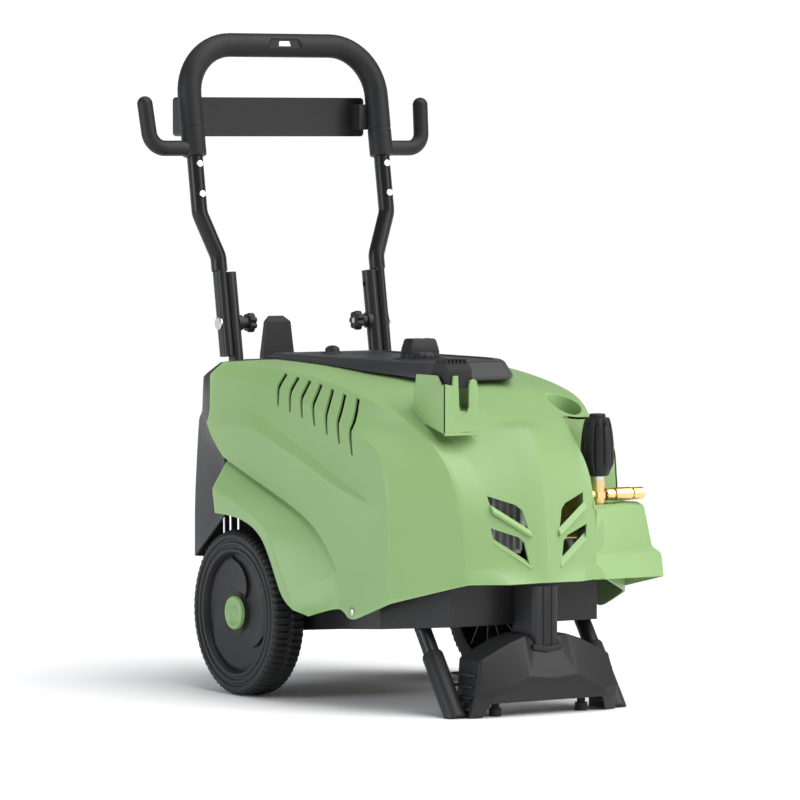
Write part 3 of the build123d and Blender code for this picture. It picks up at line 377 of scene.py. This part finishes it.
def hood_cage():
    verts, index = [], {}

    def put(name, point):
        index[name] = len(verts)
        verts.append(point)

    for key, line in (("R", RIDGE), ("M", BROW), ("A", SHOULDER)):
        for i, point in enumerate(line):
            put(f"{key}{i}", point)
    for name, point in SIDE.items():
        put(name, point)
    faces = [[f"{a}{i}", f"{a}{i + 1}", f"{b}{i + 1}", f"{b}{i}"]
             for a, b in ("RM", "MA", "AB") for i in range(len(RIDGE) - 1)]
    faces += [f.split() for f in SIDE_FACES.replace("\n", "").split(";")]
    obj = raw("hood", verts, [[index[n] for n in f] for f in faces])
    creases = dict(CREASES)
    last = len(RIDGE) - 1

    def run(key, first, end):
        return " ".join(f"{key}{i}" for i in range(first, end + 1))

    creases.update({run("R", 0, 4): 0.95, run("R", 4, 7): 0.8, run("M", 1, 4): 0.95,
                    run("M", 4, 7): 0.75, run("A", 0, 8): 0.97, run("A", 8, last): 0.85,
                    "M0 M1": 0.9, f"R{last} M{last} A{last} B{last}": 1.0, "R0 M0 A0 B0": 1.0,
                    "M1 A1 B1": 0.85})
    bm = bmesh.new()
    bm.from_mesh(obj.data)
    bm.verts.ensure_lookup_table()
    layer = bm.edges.layers.float.new("crease_edge")
    for names, weight in creases.items():
        names = names.split()
        for a, b in zip(names, names[1:]):
            edge = bm.edges.get((bm.verts[index[a]], bm.verts[index[b]]))
            if edge:
                edge[layer] = weight
    bm.to_mesh(obj.data)
    bm.free()
    return face_out(obj, FRONT)


hood = hood_cage()
apply(hood, "MIRROR", use_axis=(True, False, False), merge_threshold=0.0002)
apply(hood, "SUBSURF", levels=3, render_levels=3)
skin = BVHTree.FromObject(hood, bpy.context.evaluated_depsgraph_get())


def skin_height(x, y):
    """Height of the hood's outside over a point of the plan."""
    hit = skin.ray_cast(Vector((x, y, 900)) * MM, Vector((0, 0, -1)))[0]
    return hit.z / MM if hit else 300.0


apply(hood, "SOLIDIFY", thickness=3 * MM, offset=-1)

# Seven chevron air slots on each side, longer towards the front.
SLOT_TOP = [(26, 482), (-8, 478), (-41, 474), (-72, 470), (-104, 464), (-136, 458), (-168, 453)]
SLOT_BEND = [(28, 463), (-5, 460), (-38, 451), (-72, 442), (-110, 433), (-143, 421), (-178, 410)]
SLOT_LOW = [(21, 435), (-13, 427), (-48, 420), (-84, 410), (-119, 399), (-154, 387), (-190, 372)]
for side in (-1, 1):
    for top, bend, low in zip(SLOT_TOP, SLOT_BEND, SLOT_LOW):
        shape = [(top[0] - 4.6, top[1]), (bend[0] - 5, bend[1] - 1), (low[0] - 3, low[1]),
                 (low[0] + 2, low[1] + 2), (bend[0] + 4.5, bend[1] + 2), (top[0] + 4.6, top[1] + 3)]
        cut(hood, prism(shape, "X", *sorted((side * 150, side * 260))))

# Swept vents beside the ridge, with a sloping lip along the foot of each.
lips = []
for side in (-1, 1):
    for d, inner in ((0, 25), (-46, 27)):
        shape = [(84, 319 + d), (43, 305 + d), (34, 297 + d), (inner, 262 + d), (80, 298 + d)]
        shape = [(side * x, z) for x, z in shape]
        cut(hood, prism(shape, "Y", -420, -340))
        edge = [(inner - 1, 261 + d), (81, 298 + d)]
        verts = []
        for x, z in edge:
            y = -393 + (x - 20) * 0.3
            verts += [(side * x, y + 1, z - 1), (side * (x + 1), y + 9, z + 8),
                      (side * (x + 1), y + 11, z + 7), (side * x, y + 5, z - 4)]
        lips.append(tidy(raw("lip", verts, [(0, 1, 5, 4), (1, 2, 6, 5), (2, 3, 7, 6),
                                            (3, 0, 4, 7), (0, 3, 2, 1), (4, 5, 6, 7)])))

# Recess round the outlet and the regulator knob, with its own walls.
RECESS_X, RECESS_Y, RECESS_Z = 104.0, -264.0, 297.0
CORNER = 18.0
wall_line = [(RECESS_X, y) for y in range(-362, -282, 6)]
wall_line += [(RECESS_X + CORNER - CORNER * cos(t), RECESS_Y - CORNER + CORNER * sin(t))
              for t in [k * pi / 16 for k in range(9)]]
wall_line += [(x, RECESS_Y) for x in range(128, 214, 6)]
plan = wall_line + [(400, RECESS_Y), (400, -500), (RECESS_X, -500)]
cut(hood, prism(plan, "Z", RECESS_Z, 700))


def upright_wall(line, low, name, thick=2.5):
    """A standing wall along a plan line, trimmed by the hood's outside."""
    verts, faces = [], []
    for i, (x, y) in enumerate(line):
        a, b = line[max(i - 1, 0)], line[min(i + 1, len(line) - 1)]
        way = Vector((b[0] - a[0], b[1] - a[1], 0)).normalized()
        off = Vector((-way.y, way.x, 0)) * thick
        top = max(skin_height(x, y) - 0.4, low + 1)
        top_in = max(skin_height(x + off.x, y + off.y) - 0.8, low + 1)
        verts += [(x, y, low), (x, y, top), (x + off.x, y + off.y, top_in),
                  (x + off.x, y + off.y, low)]
    n = len(line)
    for i in range(n - 1):
        for k in range(4):
            faces.append((4 * i + k, 4 * i + (k + 1) % 4, 4 * i + 4 + (k + 1) % 4, 4 * i + 4 + k))
    faces += [(0, 1, 2, 3), (4 * n - 4, 4 * n - 1, 4 * n - 2, 4 * n - 3)]
    return tidy(raw(name, verts, faces))


recess_wall = upright_wall(wall_line, RECESS_Z - 2, "recess_wall")

# Bulge below the outlet: front face, side face and shelf.
LOW_LINE = [(100, -369, 190), (243, -341, 187), (206, -278, 168)]
STEP_LINE = [(101, -368, 222), (241, -337, 222), (208, -272, 222)]
WAIST_LINE = [(103, -366, 232), (234, -323, 231), (208, -258, 231)]
TOP_LINE = [(106, -362, 292), (225, -314, 292), (209, -252, 292)]
SHELF_LINE = [(107, -354, 297), (217, -308, 297), (206, -252, 297)]
lines = [LOW_LINE, STEP_LINE, WAIST_LINE, TOP_LINE, SHELF_LINE]
verts = [p for line in lines for p in line] + [(107, -262, 297)]
faces = [(3 * r + i, 3 * r + i + 1, 3 * r + i + 4, 3 * r + i + 3)
         for r in range(4) for i in range(2)] + [(12, 13, 14, 15)]
bulge = raw("bulge", verts, faces)
face_out(bulge, FRONT)
bevel(bulge, 5, segments=3, angle=8)
apply(bulge, "SOLIDIFY", thickness=3 * MM, offset=-1)
cut(bulge, lathe([(0, 17), (20, 17)], (VALVE_X, VALVE_Y, 287), (0, 0, 1), 32))

# Gun socket: an oval pocket sunk into the right of the forehead.
SOCKET = (136, -232)
socket_line = [(SOCKET[0] + 28 * cos(t), SOCKET[1] + 28 * sin(t))
               for t in [2 * pi * k / 40 for k in range(40)]]
cut(hood, prism(socket_line, "Z", 388, 700))
wall = []
for k in range(41):
    x, y = socket_line[k % 40]
    wall.append((x, y))
socket_wall = upright_wall(wall, 386, "socket_wall", thick=2.0)
socket_floor = prism([(SOCKET[0] + 29 * cos(2 * pi * k / 40), SOCKET[1] + 29 * sin(2 * pi * k / 40))
                      for k in range(40)], "Z", 384, 387)

# Lance bracket: an open box left of the front, with a notch in its face.
face = [(-133, 407), (-77, 412), (-77, 476), (-79, 484), (-84, 487), (-90, 484), (-92, 476),
        (-92, 446), (-96, 438), (-102, 436), (-107, 440), (-109, 448), (-111, 492), (-118, 492),
        (-120, 478), (-133, 480)]
bracket_front = prism(face, "Y", -324.6, -320)
left = [(-324, 407), (-232, 430), (-246, 492), (-300, 492), (-312, 478), (-324, 480)]
bracket_left = prism(left, "X", -133, -129.5)
right = [(-324, 412), (-240, 440), (-240, 484), (-318, 484), (-324, 476)]
bracket_right = prism(right, "X", -81, -77.5)
bracket_lip = prism([(-325.5, 405.5), (-322, 405.5), (-322, 409.5), (-325.5, 409.5)], "X",
                    -134, -76)
bracket_floor = prism([(-322, 436), (-235, 452), (-235, 455), (-322, 440)], "X", -131, -79)
for piece in (bracket_front, bracket_left, bracket_right, bracket_floor, bracket_lip):
    bevel(piece, 0.4)
hood = join("hood", hood, *lips, recess_wall, bulge, socket_wall, socket_floor, bracket_front,
            bracket_left, bracket_right, bracket_floor, bracket_lip)
finish_piece(hood, "hood_moulding", "green_plastic", "chassis", "hood", smooth=9)

# Phillips screws in the lower tabs.
for side, name in ((-1, "left"), (1, "right")):
    screw = lathe([(0, 0.1), (0, 6), (1.2, 6), (2.6, 4.6), (3.2, 2.4), (3.3, 0.1)],
                  (side * 219.5, -208, 146), (side, 0, 0), 32)
    for turn in (0, 1):
        reach = (0.9, 3.4) if turn else (3.4, 0.9)
        cut(screw, block(sorted((side * 221.4, side * 230)), (-208 - reach[0], -208 + reach[0]),
                         (146 - reach[1], 146 + reach[1])))
    finish_piece(screw, f"hood_screw_{name}", "zinc_steel", "chassis", "hood_screws")


# ================================================================ rear cover
def shell(name, columns, creases, thickness=3, levels=2, flip_test=None):
    """Columns of points, first one on the middle plane, mirrored, smoothed and thickened."""
    n = len(columns[0])
    verts = [p for c in columns for p in c]
    faces = [(c * n + i, c * n + i + 1, (c + 1) * n + i + 1, (c + 1) * n + i)
             for c in range(len(columns) - 1) for i in range(n - 1)]
    obj = raw(name, verts, faces)
    bm = bmesh.new()
    bm.from_mesh(obj.data)
    bm.verts.ensure_lookup_table()
    layer = bm.edges.layers.float.new("crease_edge")
    for e in bm.edges:
        a, b = sorted(v.index for v in e.verts)
        if b - a == 1:
            e[layer] = creases[0][a // n]
        else:
            e[layer] = creases[1][a % n]
    bm.to_mesh(obj.data)
    bm.free()
    face_out(obj, flip_test)
    apply(obj, "MIRROR", use_axis=(True, False, False), merge_threshold=0.0002)
    apply(obj, "SUBSURF", levels=levels, render_levels=levels)
    apply(obj, "SOLIDIFY", thickness=thickness * MM, offset=-1)
    return obj


rear = shell("rear", [
    [(0, 186, 497), (0, 250, 497), (0, 298, 477), (0, 299, 419), (0, 306, 406), (0, 306, 357),
     (0, 305, 280), (0, 303, 192)],
    [(132, 186, 497), (132, 246, 497), (132, 292, 475), (132, 293, 418), (132, 303, 406),
     (132, 304, 357), (132, 303, 280), (132, 301, 192)],
    [(190, 187, 496), (186, 229, 494), (192, 273, 472), (196, 270, 417), (197, 278, 406),
     (200, 280, 357), (201, 286, 280), (199, 290, 192)],
    [(205, 188, 494), (219, 202, 476), (220, 199, 419), (221, 206, 404), (221, 193, 382),
     (220, 158, 354), (214, 168, 306), (209, 180, 262)],
], ([0.0, 0.7, 0.7, 1.0], [1.0, 0.8, 0.85, 0.85, 0.85, 0.4, 0.3, 1.0]), flip_test=(0, 1, 0.3))
for k in range(8):
    x = -91 + 26 * k
    cut(rear, block((x - 4.5, x + 4.5), (280, 330), (214, 286)))
for x in REAR_GAPS:
    cut(rear, block((x - 2.2, x + 2.2), (280, 330), (222, 262)))
for side in (-1, 1):
    cut(rear, tube([in_handle(side * 128, -90), in_handle(side * 128, -20)], 13.2, 32))
cut(rear, lathe([(-30, 10), (30, 10)], (-90, 300, 330), (0, 1, 0), 32))
finish_piece(rear, "rear_moulding", "dark_plastic", "chassis", "rear_cover", smooth=26)

# ================================================================ top cover
RIM = [(0, -220), (52, -217), (72, -192), (87, -165), (98, -122), (108, -75), (110, 0),
       (110, 88), (110, 160), (110, 222), (98, 238), (0, 238)]


def rim_ring(inset, height, front_extra=0.0):
    ring = []
    for x, y in RIM:
        yy = y + inset if y < -150 else (y - inset if y > 200 else y)
        if y < -150:
            yy += front_extra * (1 if x < 60 else 0.5)
        z = height(y) if callable(height) else height
        ring.append((max(x - inset, 0) if x else 0, yy, z))
    return ring + [(-x, y, z) for x, y, z in reversed(ring) if x]


def low_edge(y):
    return 481 + 15.5 * min(max((y + 217) / 280, 0), 1) - (0 if y > -150 else 1)


rings = [rim_ring(6, lambda y: low_edge(y) - 3), rim_ring(0, low_edge),
         rim_ring(0.6, lambda y: low_edge(y) + 4), rim_ring(7, 504, 12), rim_ring(9.5, 506, 14),
         rim_ring(17, 506, 16), rim_ring(18.5, 504, 16.5), rim_ring(22, 504, 17)]
top = loft(rings)
dial = lathe([(0, 41), (1.6, 41), (2.2, 40.2), (2.2, 37), (1.0, 36), (1.0, 0.5)],
             (0, SWITCH_Y, 503.8), (0, 0, 1), 72)
# A small crescent pressed into the panel near the front, right of the dial.
crescent = [(46 + 15 * cos(t), -128 + 15 * sin(t)) for t in [pi * k / 12 for k in range(13)]]
crescent += [(46 + 13 * cos(t), -130 + 14 * sin(t)) for t in [pi - pi * k / 12 for k in range(13)]]
cut(top, prism(crescent, "Z", 503, 520))
button_ring = lathe([(0, 16), (2.0, 16), (2.8, 15), (2.8, 12.5), (0, 12.2)], (0, BUTTON_Y, 503.6),
                    (0, 0, 1), 48)
for panel in (top, dial):
    cut(panel, lathe([(-50, 9.3), (20, 9.3)], (0, SWITCH_Y, 500), (0, 0, 1), 48))
cut(top, lathe([(-50, 11.8), (20, 11.8)], (0, BUTTON_Y, 500), (0, 0, 1), 48))
top = join("top", top, dial, button_ring)
finish_piece(top, "top_moulding", "dark_plastic", "chassis", "top_cover", smooth=20)

knob_base = lathe([(0, 0.5), (0, 28), (1.5, 29.5), (5, 29.5), (9, 27.5), (10.5, 25), (10.5, 0.5)],
                  (0, SWITCH_Y, 505), (0, 0, 1), 64,
                  lambda r, i, t: r - (1.1 if r > 26 and int(t / (2 * pi) * 64) % 4 == 0 else 0))
wing = loft([[(x * a, SWITCH_Y + y * b, z) for x, y in ((-1, -1), (1, -1), (1, 1), (-1, 1))]
             for a, b, z in ((26, 15, 512), (25, 14, 520), (21.5, 12.5, 532),
                             (19.5, 11, 535))])
bevel(wing, 1.6, 3)
finish_piece(join("knob", knob_base, wing), "switch_dial", "black_plastic", "switch",
             "switch_knob", smooth=28)
pointer = prism([(-1.2, -57), (1.2, -57), (1.2, -48), (-1.2, -48)], "Z", 534.4, 535.4)
finish_piece(pointer, "switch_pointer", "ceramic_white", "switch")
button = lathe([(0, 0.3), (0, 11.3), (18, 11.3), (21, 9.8), (23, 6.5), (24, 2.5), (24, 0.3)],
               (0, BUTTON_Y, 492), (0, 0, 1), 48)
finish_piece(button, "reset_cap", "black_plastic", "button", "reset_button")

# Ribbed rubber clip across the lance bracket.
clip = prism([(-319, 474), (-276, 478), (-274, 492), (-280, 509), (-309, 511), (-319, 500)], "X",
             -126, -83)
ribs = []
for k in range(6):
    x = -124 + 6.6 * k
    ribs.append(loft([[(x + a, -312 + a, z), (x + 3.6 - a, -312 + a, z), (x + 6.6 - a, -279 - a, z),
                       (x + 3 + a, -279 - a, z)] for z, a in ((507, 0), (515, 0.6))]))
bevel(clip, 2.0, 3)
finish_piece(join("clip", clip, *ribs), "lance_rest", "black_rubber", "chassis", "lance_clip")

# ================================================================ foot
FOOT = {
    "a0": (0, -393, 21), "a1": (45, -393, 21), "a2": (97, -392, 21), "a3": (108, -384, 0.5),
    "a4": (128, -381, 0.5),
    "b0": (0, -411, 53), "b1": (40, -411, 58), "b2": (96, -402, 32), "b4": (124, -392, 34),
    "c0": (0, -398, 84), "c1": (25, -395, 88),
    "d1": (29, -381, 117), "d2": (37, -388, 116), "d3": (62, -388, 108), "d4": (112, -386, 84),
    "e1": (27, -330, 117), "e2": (37, -330, 116), "e3": (62, -330, 108), "e4": (112, -330, 84),
    "e5": (118, -330, 0.5), "e0": (0, -330, 117), "d0": (0, -385, 100),
}
FOOT_FACES = """a0 a1 b1 b0;a1 a2 b2 b1;a2 a3 a4 b4 b2;b0 b1 c1 c0;b1 d2 d1 c1;b1 b2 d3 d2;
b2 b4 d4 d3;c0 c1 d1 d0;d0 d1 e1 e0;d1 d2 e2 e1;d2 d3 e3 e2;d3 d4 e4 e3;d4 b4 a4 e5 e4"""
names = list(FOOT)
foot = raw("foot", [FOOT[n] for n in names],
           [[names.index(n) for n in f.split()] for f in FOOT_FACES.replace("\n", "").split(";")])
face_out(foot, FRONT)
apply(foot, "MIRROR", use_axis=(True, False, False), merge_threshold=0.0002)
bevel(foot, 3.5, segments=4, angle=12)
apply(foot, "SOLIDIFY", thickness=3 * MM, offset=-1)
cut(foot, block((-22.5, 22.5), (-391.5, -330), (60, 140)))
pieces = [foot]
LEG_TOP, LEG_END = Vector((140, -237, 175.4)), Vector((140, -355, 11))
way = (LEG_END - LEG_TOP).normalized()
for side in (-1, 1):
    flip = Vector((side, 1, 1))
    start, end = (LEG_END - way * 94) * flip, (LEG_END + way * 16) * flip
    sleeve = tube([start, start + (end - start) * 0.03, end], [14.6, 15.8, 15.8], 40)
    cut(sleeve, tube([(LEG_END - way * 120) * flip, (LEG_END - way * 2) * flip], 12.1, 40))
    cut(sleeve, block((-300, 300), (-500, -200), (-60, 0)))
    pieces.append(sleeve)
    # Ribs of the shroud's flank, between the sleeve and the front face.
    for k in range(4):
        z = 12 + 16 * k
        rib = prism([(-381, z), (-350 + 9 * k, z), (-350 + 9 * k, z + 3), (-381, z + 3)], "X",
                    *sorted((side * 108, side * (129 - k * 2.5))))
        pieces.append(rib)
collar = prism([(-26, 96), (0, 91), (26, 96), (26, 104), (0, 99), (-26, 104)], "Y", -394, -386)
bevel(collar, 1.2)
pieces.append(collar)
seat = block((-29, 29), (-384, -336), (90, 95))
cut(seat, block((-22.5, 22.5), (-392, -330), (60, 140)))
pieces.append(seat)
foot = join("foot", *pieces)
finish_piece(foot, "foot_moulding", "black_plastic", "chassis", "foot_shroud", smooth=24)

post = loft([[(-22, -340, z), (-22, -382, z), (-21, -385.5, z), (-18.5, -389.5, z),
              (-15.5, -391, z), (15.5, -391, z), (18.5, -389.5, z), (21, -385.5, z),
              (22, -382, z), (22, -340, z)] for z in (60, 187)])
groove = [block((s - 0.8, s + 0.8), (-392, -390.2), (100, 188)) for s in (-7, 7)]
for g in groove:
    cut(post, g)
finish_piece(post, "post_moulding", "black_plastic", "chassis", "front_post", smooth=20)

# ================================================================ wheels
TEETH = 72


def wheel(side):
    """Block tread, ridged side wall, and a disc of three curved blades."""
    x0 = 200.5
    axle = Vector((0, AXLE_Y, AXLE_Z))
    per = 4
    n = TEETH * per
    rows = [(24, 92, 0), (4, 96, 0), (0.5, 108, 0), (0, 118, 1), (3, 122.5, 1), (8, 124.4, 1),
            (22, 124.4, 1), (24, 124.4, 0.35), (29, 124.4, 0.35), (31, 124.4, 2), (45, 124.4, 2),
            (50, 122.5, 2), (53, 118, 2), (53, 112, 0), (51, 110.5, 0), (51, 107.5, 0),
            (52.5, 106, 0), (52.5, 102, 0), (50.5, 100.5, 0), (50.5, 97.5, 0), (52, 96, 0),
            (52, 92, 0), (47, 89, 0), (40, 87, 0)]
    rings = []
    for x, r, mode in rows:
        ring = []
        for k in range(n):
            t = 2 * pi * k / n
            phase = k % per
            depth = 0.0
            if (mode == 1 and phase in (0, 1)) or (mode == 2 and phase in (2, 3)) or mode == 0.35:
                depth = 2.8
            rr = r - depth * (1 if r > 120 else 0.45)
            ring.append(Vector((side * (x0 + x), axle.y + rr * cos(t), axle.z + rr * sin(t))))
        rings.append(ring)
    rim = loft(rings, caps=False)
    # Disc between hub and rim; each blade ramps out and ends in a curved step.
    radii = [26, 29, 33, 38, 44, 52, 60, 68, 75, 81, 85, 87.5, 90]
    seg = 96
    verts, faces = [], []
    third = seg // 3
    for i, r in enumerate(radii):
        f = min(max((r - 30) / 52, 0), 1)
        swirl = -0.95 * f * f + 0.25
        fade = min(max((r - 29) / 8, 0), 1) * min(max((88 - r) / 5, 0), 1)
        for k in range(seg + 3):
            blade, step = divmod(k, third + 1)
            u = step / third
            t = 2 * pi * (blade + u) / 3 + swirl
            h = 43.0 + 4.5 * u * fade + (1.5 if r < 30 else 0)
            verts.append((side * (x0 + h), axle.y + r * cos(t), axle.z + r * sin(t)))
    m = seg + 3
    for i in range(len(radii) - 1):
        for k in range(m):
            j = (k + 1) % m
            faces.append((i * m + k, i * m + j, (i + 1) * m + j, (i + 1) * m + k))
    disc = raw("disc", verts, faces)
    bm = bmesh.new()
    bm.from_mesh(disc.data)
    bmesh.ops.remove_doubles(bm, verts=bm.verts, dist=0.00002)
    bmesh.ops.recalc_face_normals(bm, faces=bm.faces)
    if sum(f.normal.x * f.calc_area() for f in bm.faces) * side < 0:
        bmesh.ops.reverse_faces(bm, faces=bm.faces)
    bm.to_mesh(disc.data)
    bm.free()
    apply(disc, "SOLIDIFY", thickness=4 * MM, offset=-1)
    hub = lathe([(0, 12), (0, 21), (20, 23), (44, 28.5), (46, 30), (46, 27.2), (43, 26.5),
                 (43, 12)], (side * x0, AXLE_Y, AXLE_Z), (side, 0, 0), 64)
    pieces = [rim, disc, hub]
    for k in range(12):
        t = 2 * pi * k / 12 + 0.1
        way, turn = Vector((0, cos(t), sin(t))), Vector((0, -sin(t), cos(t))) * 1.3
        near, far = axle + way * 22, axle + way * 93
        corners = []
        for p, lift in ((near, 4), (far, 6)):
            for s in (-1, 1):
                for x in (lift, 36):
                    q = p + turn * s
                    corners.append((side * (x0 + x), q.y, q.z))
        pieces.append(tidy(raw("rib", corners, [(0, 1, 3, 2), (4, 6, 7, 5), (0, 4, 5, 1),
                                                (2, 3, 7, 6), (0, 2, 6, 4), (1, 5, 7, 3)])))
    return join("wheel", *pieces)


for side, name in ((-1, "left"), (1, "right")):
    finish_piece(wheel(side), f"wheel_moulding_{name}", "black_plastic", f"wheel_{name}",
                 f"wheel_{name}", smooth=34)
    cap = lathe([(0, 1), (0, 23), (1.5, 25.3), (5.5, 25.3), (8.0, 23.8), (8.8, 21.5), (8.0, 19),
                 (5.6, 16), (4.6, 13), (4.6, 9.5), (5.6, 8.3), (6.2, 6), (6.4, 1)],
                (side * 246.6, AXLE_Y, AXLE_Z), (side, 0, 0), 72)
    finish_piece(cap, f"hub_disc_{name}", "green_plastic", f"wheel_{name}", f"hub_cap_{name}",
                 smooth=40)

# ================================================================ handle
grip_path = rounded_path([in_handle(-170, 260), in_handle(-170, 435.5), in_handle(170, 435.5),
                          in_handle(170, 260)], 80, 14)
path, radii = [], []
ends = [(260, 15.5), (261.5, 18.2), (264, 18.6), (301, 18.6), (302, 17.9), (305, 17.9),
        (306, 18.6)]
for w, r in ends:
    path.append(in_handle(-170, w))
    radii.append(r)
for p in grip_path[1:-1]:
    path.append(p)
    radii.append(18.6)
for w, r in reversed(ends):
    path.append(in_handle(170, w))
    radii.append(r)
grip = tube(path, radii, 40)
bore = tube([in_handle(-170, 250)] + grip_path[1:-1] + [in_handle(170, 250)], 12.6, 32)
cut(grip, bore)
window = loft([[in_handle(x * k, 435.5 + w * k2, out) for x, w in
                ((-34, -9), (34, -9), (27, 9), (-27, 9))]
               for k, k2, out in ((0.86, 0.8, 15.2), (1.06, 1.12, 21))])
cut(grip, window)
finish_piece(grip, "grip_moulding", "grip_plastic", "handle", "grip_cover", smooth=26)
plate = loft([[in_handle(x, 435.5 + w, out) for x, w in ((-11, -4), (11, -4), (9, 4), (-9, 4))]
              for out in (14.6, 15.9)])
finish_piece(bevel(plate, 0.5), "grip_window", "ceramic_white", "handle")

for side, name in ((-1, "left"), (1, "right")):
    centre = (side * 113, PIVOT[1], PIVOT[2])
    neck = lathe([(0, 4.2), (0, 9.4), (10, 9.4), (10, 4.2)], centre, (-side, 0, 0), 40)
    n = 84
    lobes = []
    for a, shrink in ((9.8, 1.6), (10.6, 0.5), (12, 0), (19, 0), (21, 0.8), (22.0, 2.6)):
        ring = []
        for k in range(n):
            t = 2 * pi * k / n
            r = 14.0 + 1.6 * cos(7 * t) - 0.35 * cos(14 * t) - shrink
            ring.append((centre[0] - side * a, centre[1] + r * cos(t), centre[2] + r * sin(t)))
        lobes.append(ring)
    head = loft(lobes)
    cut(head, lathe([(12, 5.7), (40, 5.7)], centre, (-side, 0, 0), 40))
    finish_piece(join("star", neck, head), f"star_moulding_{name}", "black_plastic",
                 f"knob_{name}", f"star_knob_{name}", smooth=30)
    insert = lathe([(9.5, 4.1), (9.5, 5.6), (20.6, 5.6), (20.6, 4.1)], centre, (-side, 0, 0), 40)
    finish_piece(insert, f"star_insert_{name}", "zinc_steel", f"knob_{name}")

# ================================================================ regulator knob
def knob_radius(r, index, t):
    flute = max(cos(10 * t), 0) ** 3
    amount = {3: 1.0, 4: 2.6, 5: 2.8, 6: 2.8, 7: 2.6, 8: 2.2, 9: 1.6}.get(index, 0)
    return r - amount * flute


knob = lathe([(0, 5), (0, 15), (2, 17.5), (10, 20.5), (18, 24.6), (26, 25), (46, 24.6),
              (64, 22.9), (76, 20.6), (82, 19.0), (86, 17.6), (86.4, 12.4), (90.5, 12),
              (92, 10.5), (92, 0.5)], (VALVE_X, VALVE_Y, 338), (0, 0, 1), 120, knob_radius)
cut(knob, lathe([(-2, 5), (76, 5)], (VALVE_X, VALVE_Y, 338), (0, 0, 1), 32))
for k in range(10):
    t = 2 * pi * (k + 0.5) / 10
    notch = lathe([(0, 2.1), (12, 2.1)], (VALVE_X + 19.5 * cos(t), VALVE_Y + 19.5 * sin(t), 412),
                  (0, 0, 1), 16)
    cut(knob, notch)
finish_piece(knob, "regulator_moulding", "black_plastic", "regulator", "regulator_knob",
             smooth=30)

# ================================================================ stage, light and camera
def area(name, place, aim, size, power, colour):
    light = bpy.data.lights.new(name, "AREA")
    light.shape = "RECTANGLE"
    light.size, light.size_y = size
    light.energy = power
    light.color = colour
    lamp = bpy.data.objects.new(name, light)
    bpy.context.scene.collection.objects.link(lamp)
    lamp.location = place
    lamp.rotation_euler = (Vector(aim) - Vector(place)).to_track_quat("-Z", "Y").to_euler()


area("key_right", (2.8, -3.6, 1.8), (0, -0.2, 0.35), (1.4, 1.6), 34, (1.0, 0.94, 0.84))
area("fill_left", (-4.0, 0.2, 1.5), (0, 0, 0.35), (1.8, 1.8), 58, (0.86, 0.94, 1.0))
area("top_soft", (-0.4, 0.8, 3.6), (0, 0, 0.3), (2.4, 2.4), 20, (1.0, 1.0, 1.0))
sun = bpy.data.lights.new("sky", "SUN")
sun.energy = 3.4
sun.angle = radians(70)
sky = bpy.data.objects.new("sky", sun)
bpy.context.scene.collection.objects.link(sky)
sky.rotation_euler = Vector((-0.4, 0.62, -1)).to_track_quat("-Z", "Y").to_euler()
bpy.context.scene.view_settings.view_transform = "Standard"

REACH = 60000
floor = raw("floor", [(-REACH, -REACH, 0), (REACH, -REACH, 0), (REACH, REACH, 0), (-REACH, REACH, 0)],
            [(0, 1, 2, 3)])
floor.data.materials.append(material("floor_pale", (0.96, 0.96, 0.96), 0.8, vary=0.01, grain=60,
                                     depth=0.0))
world = bpy.data.worlds.new("studio")
world.use_nodes = True
sky_nodes = world.node_tree.nodes
backing = sky_nodes["Background"]
backing.inputs["Color"].default_value = (1.0, 1.0, 1.0, 1)
# White at the horizon, dimmer overhead, so that the covers keep their shading.
way_in = sky_nodes.new("ShaderNodeTexCoord")
split = sky_nodes.new("ShaderNodeSeparateXYZ")
fade = sky_nodes.new("ShaderNodeMapRange")
fade.inputs["From Min"].default_value = 0.04
fade.inputs["From Max"].default_value = 0.16
fade.inputs["To Min"].default_value = 1.05
fade.inputs["To Max"].default_value = 0.24
world.node_tree.links.new(way_in.outputs["Generated"], split.inputs["Vector"])
world.node_tree.links.new(split.outputs["Z"], fade.inputs["Value"])
world.node_tree.links.new(fade.outputs["Result"], backing.inputs["Strength"])
bpy.context.scene.world = world

camera = bpy.data.cameras.new("camera")
camera.sensor_width = 36
camera.lens = 234.8
camera.clip_end = 60
eye = bpy.data.objects.new("camera", camera)
bpy.context.scene.collection.objects.link(eye)
eye.location = (-4.1993, -6.6558, 0.8353)
pitch = radians(2.87)
look = Vector((0.5325 * cos(pitch), 0.8452 * cos(pitch), -sin(pitch)))
eye.rotation_euler = look.to_track_quat("-Z", "Y").to_euler()
bpy.context.scene.camera = eye
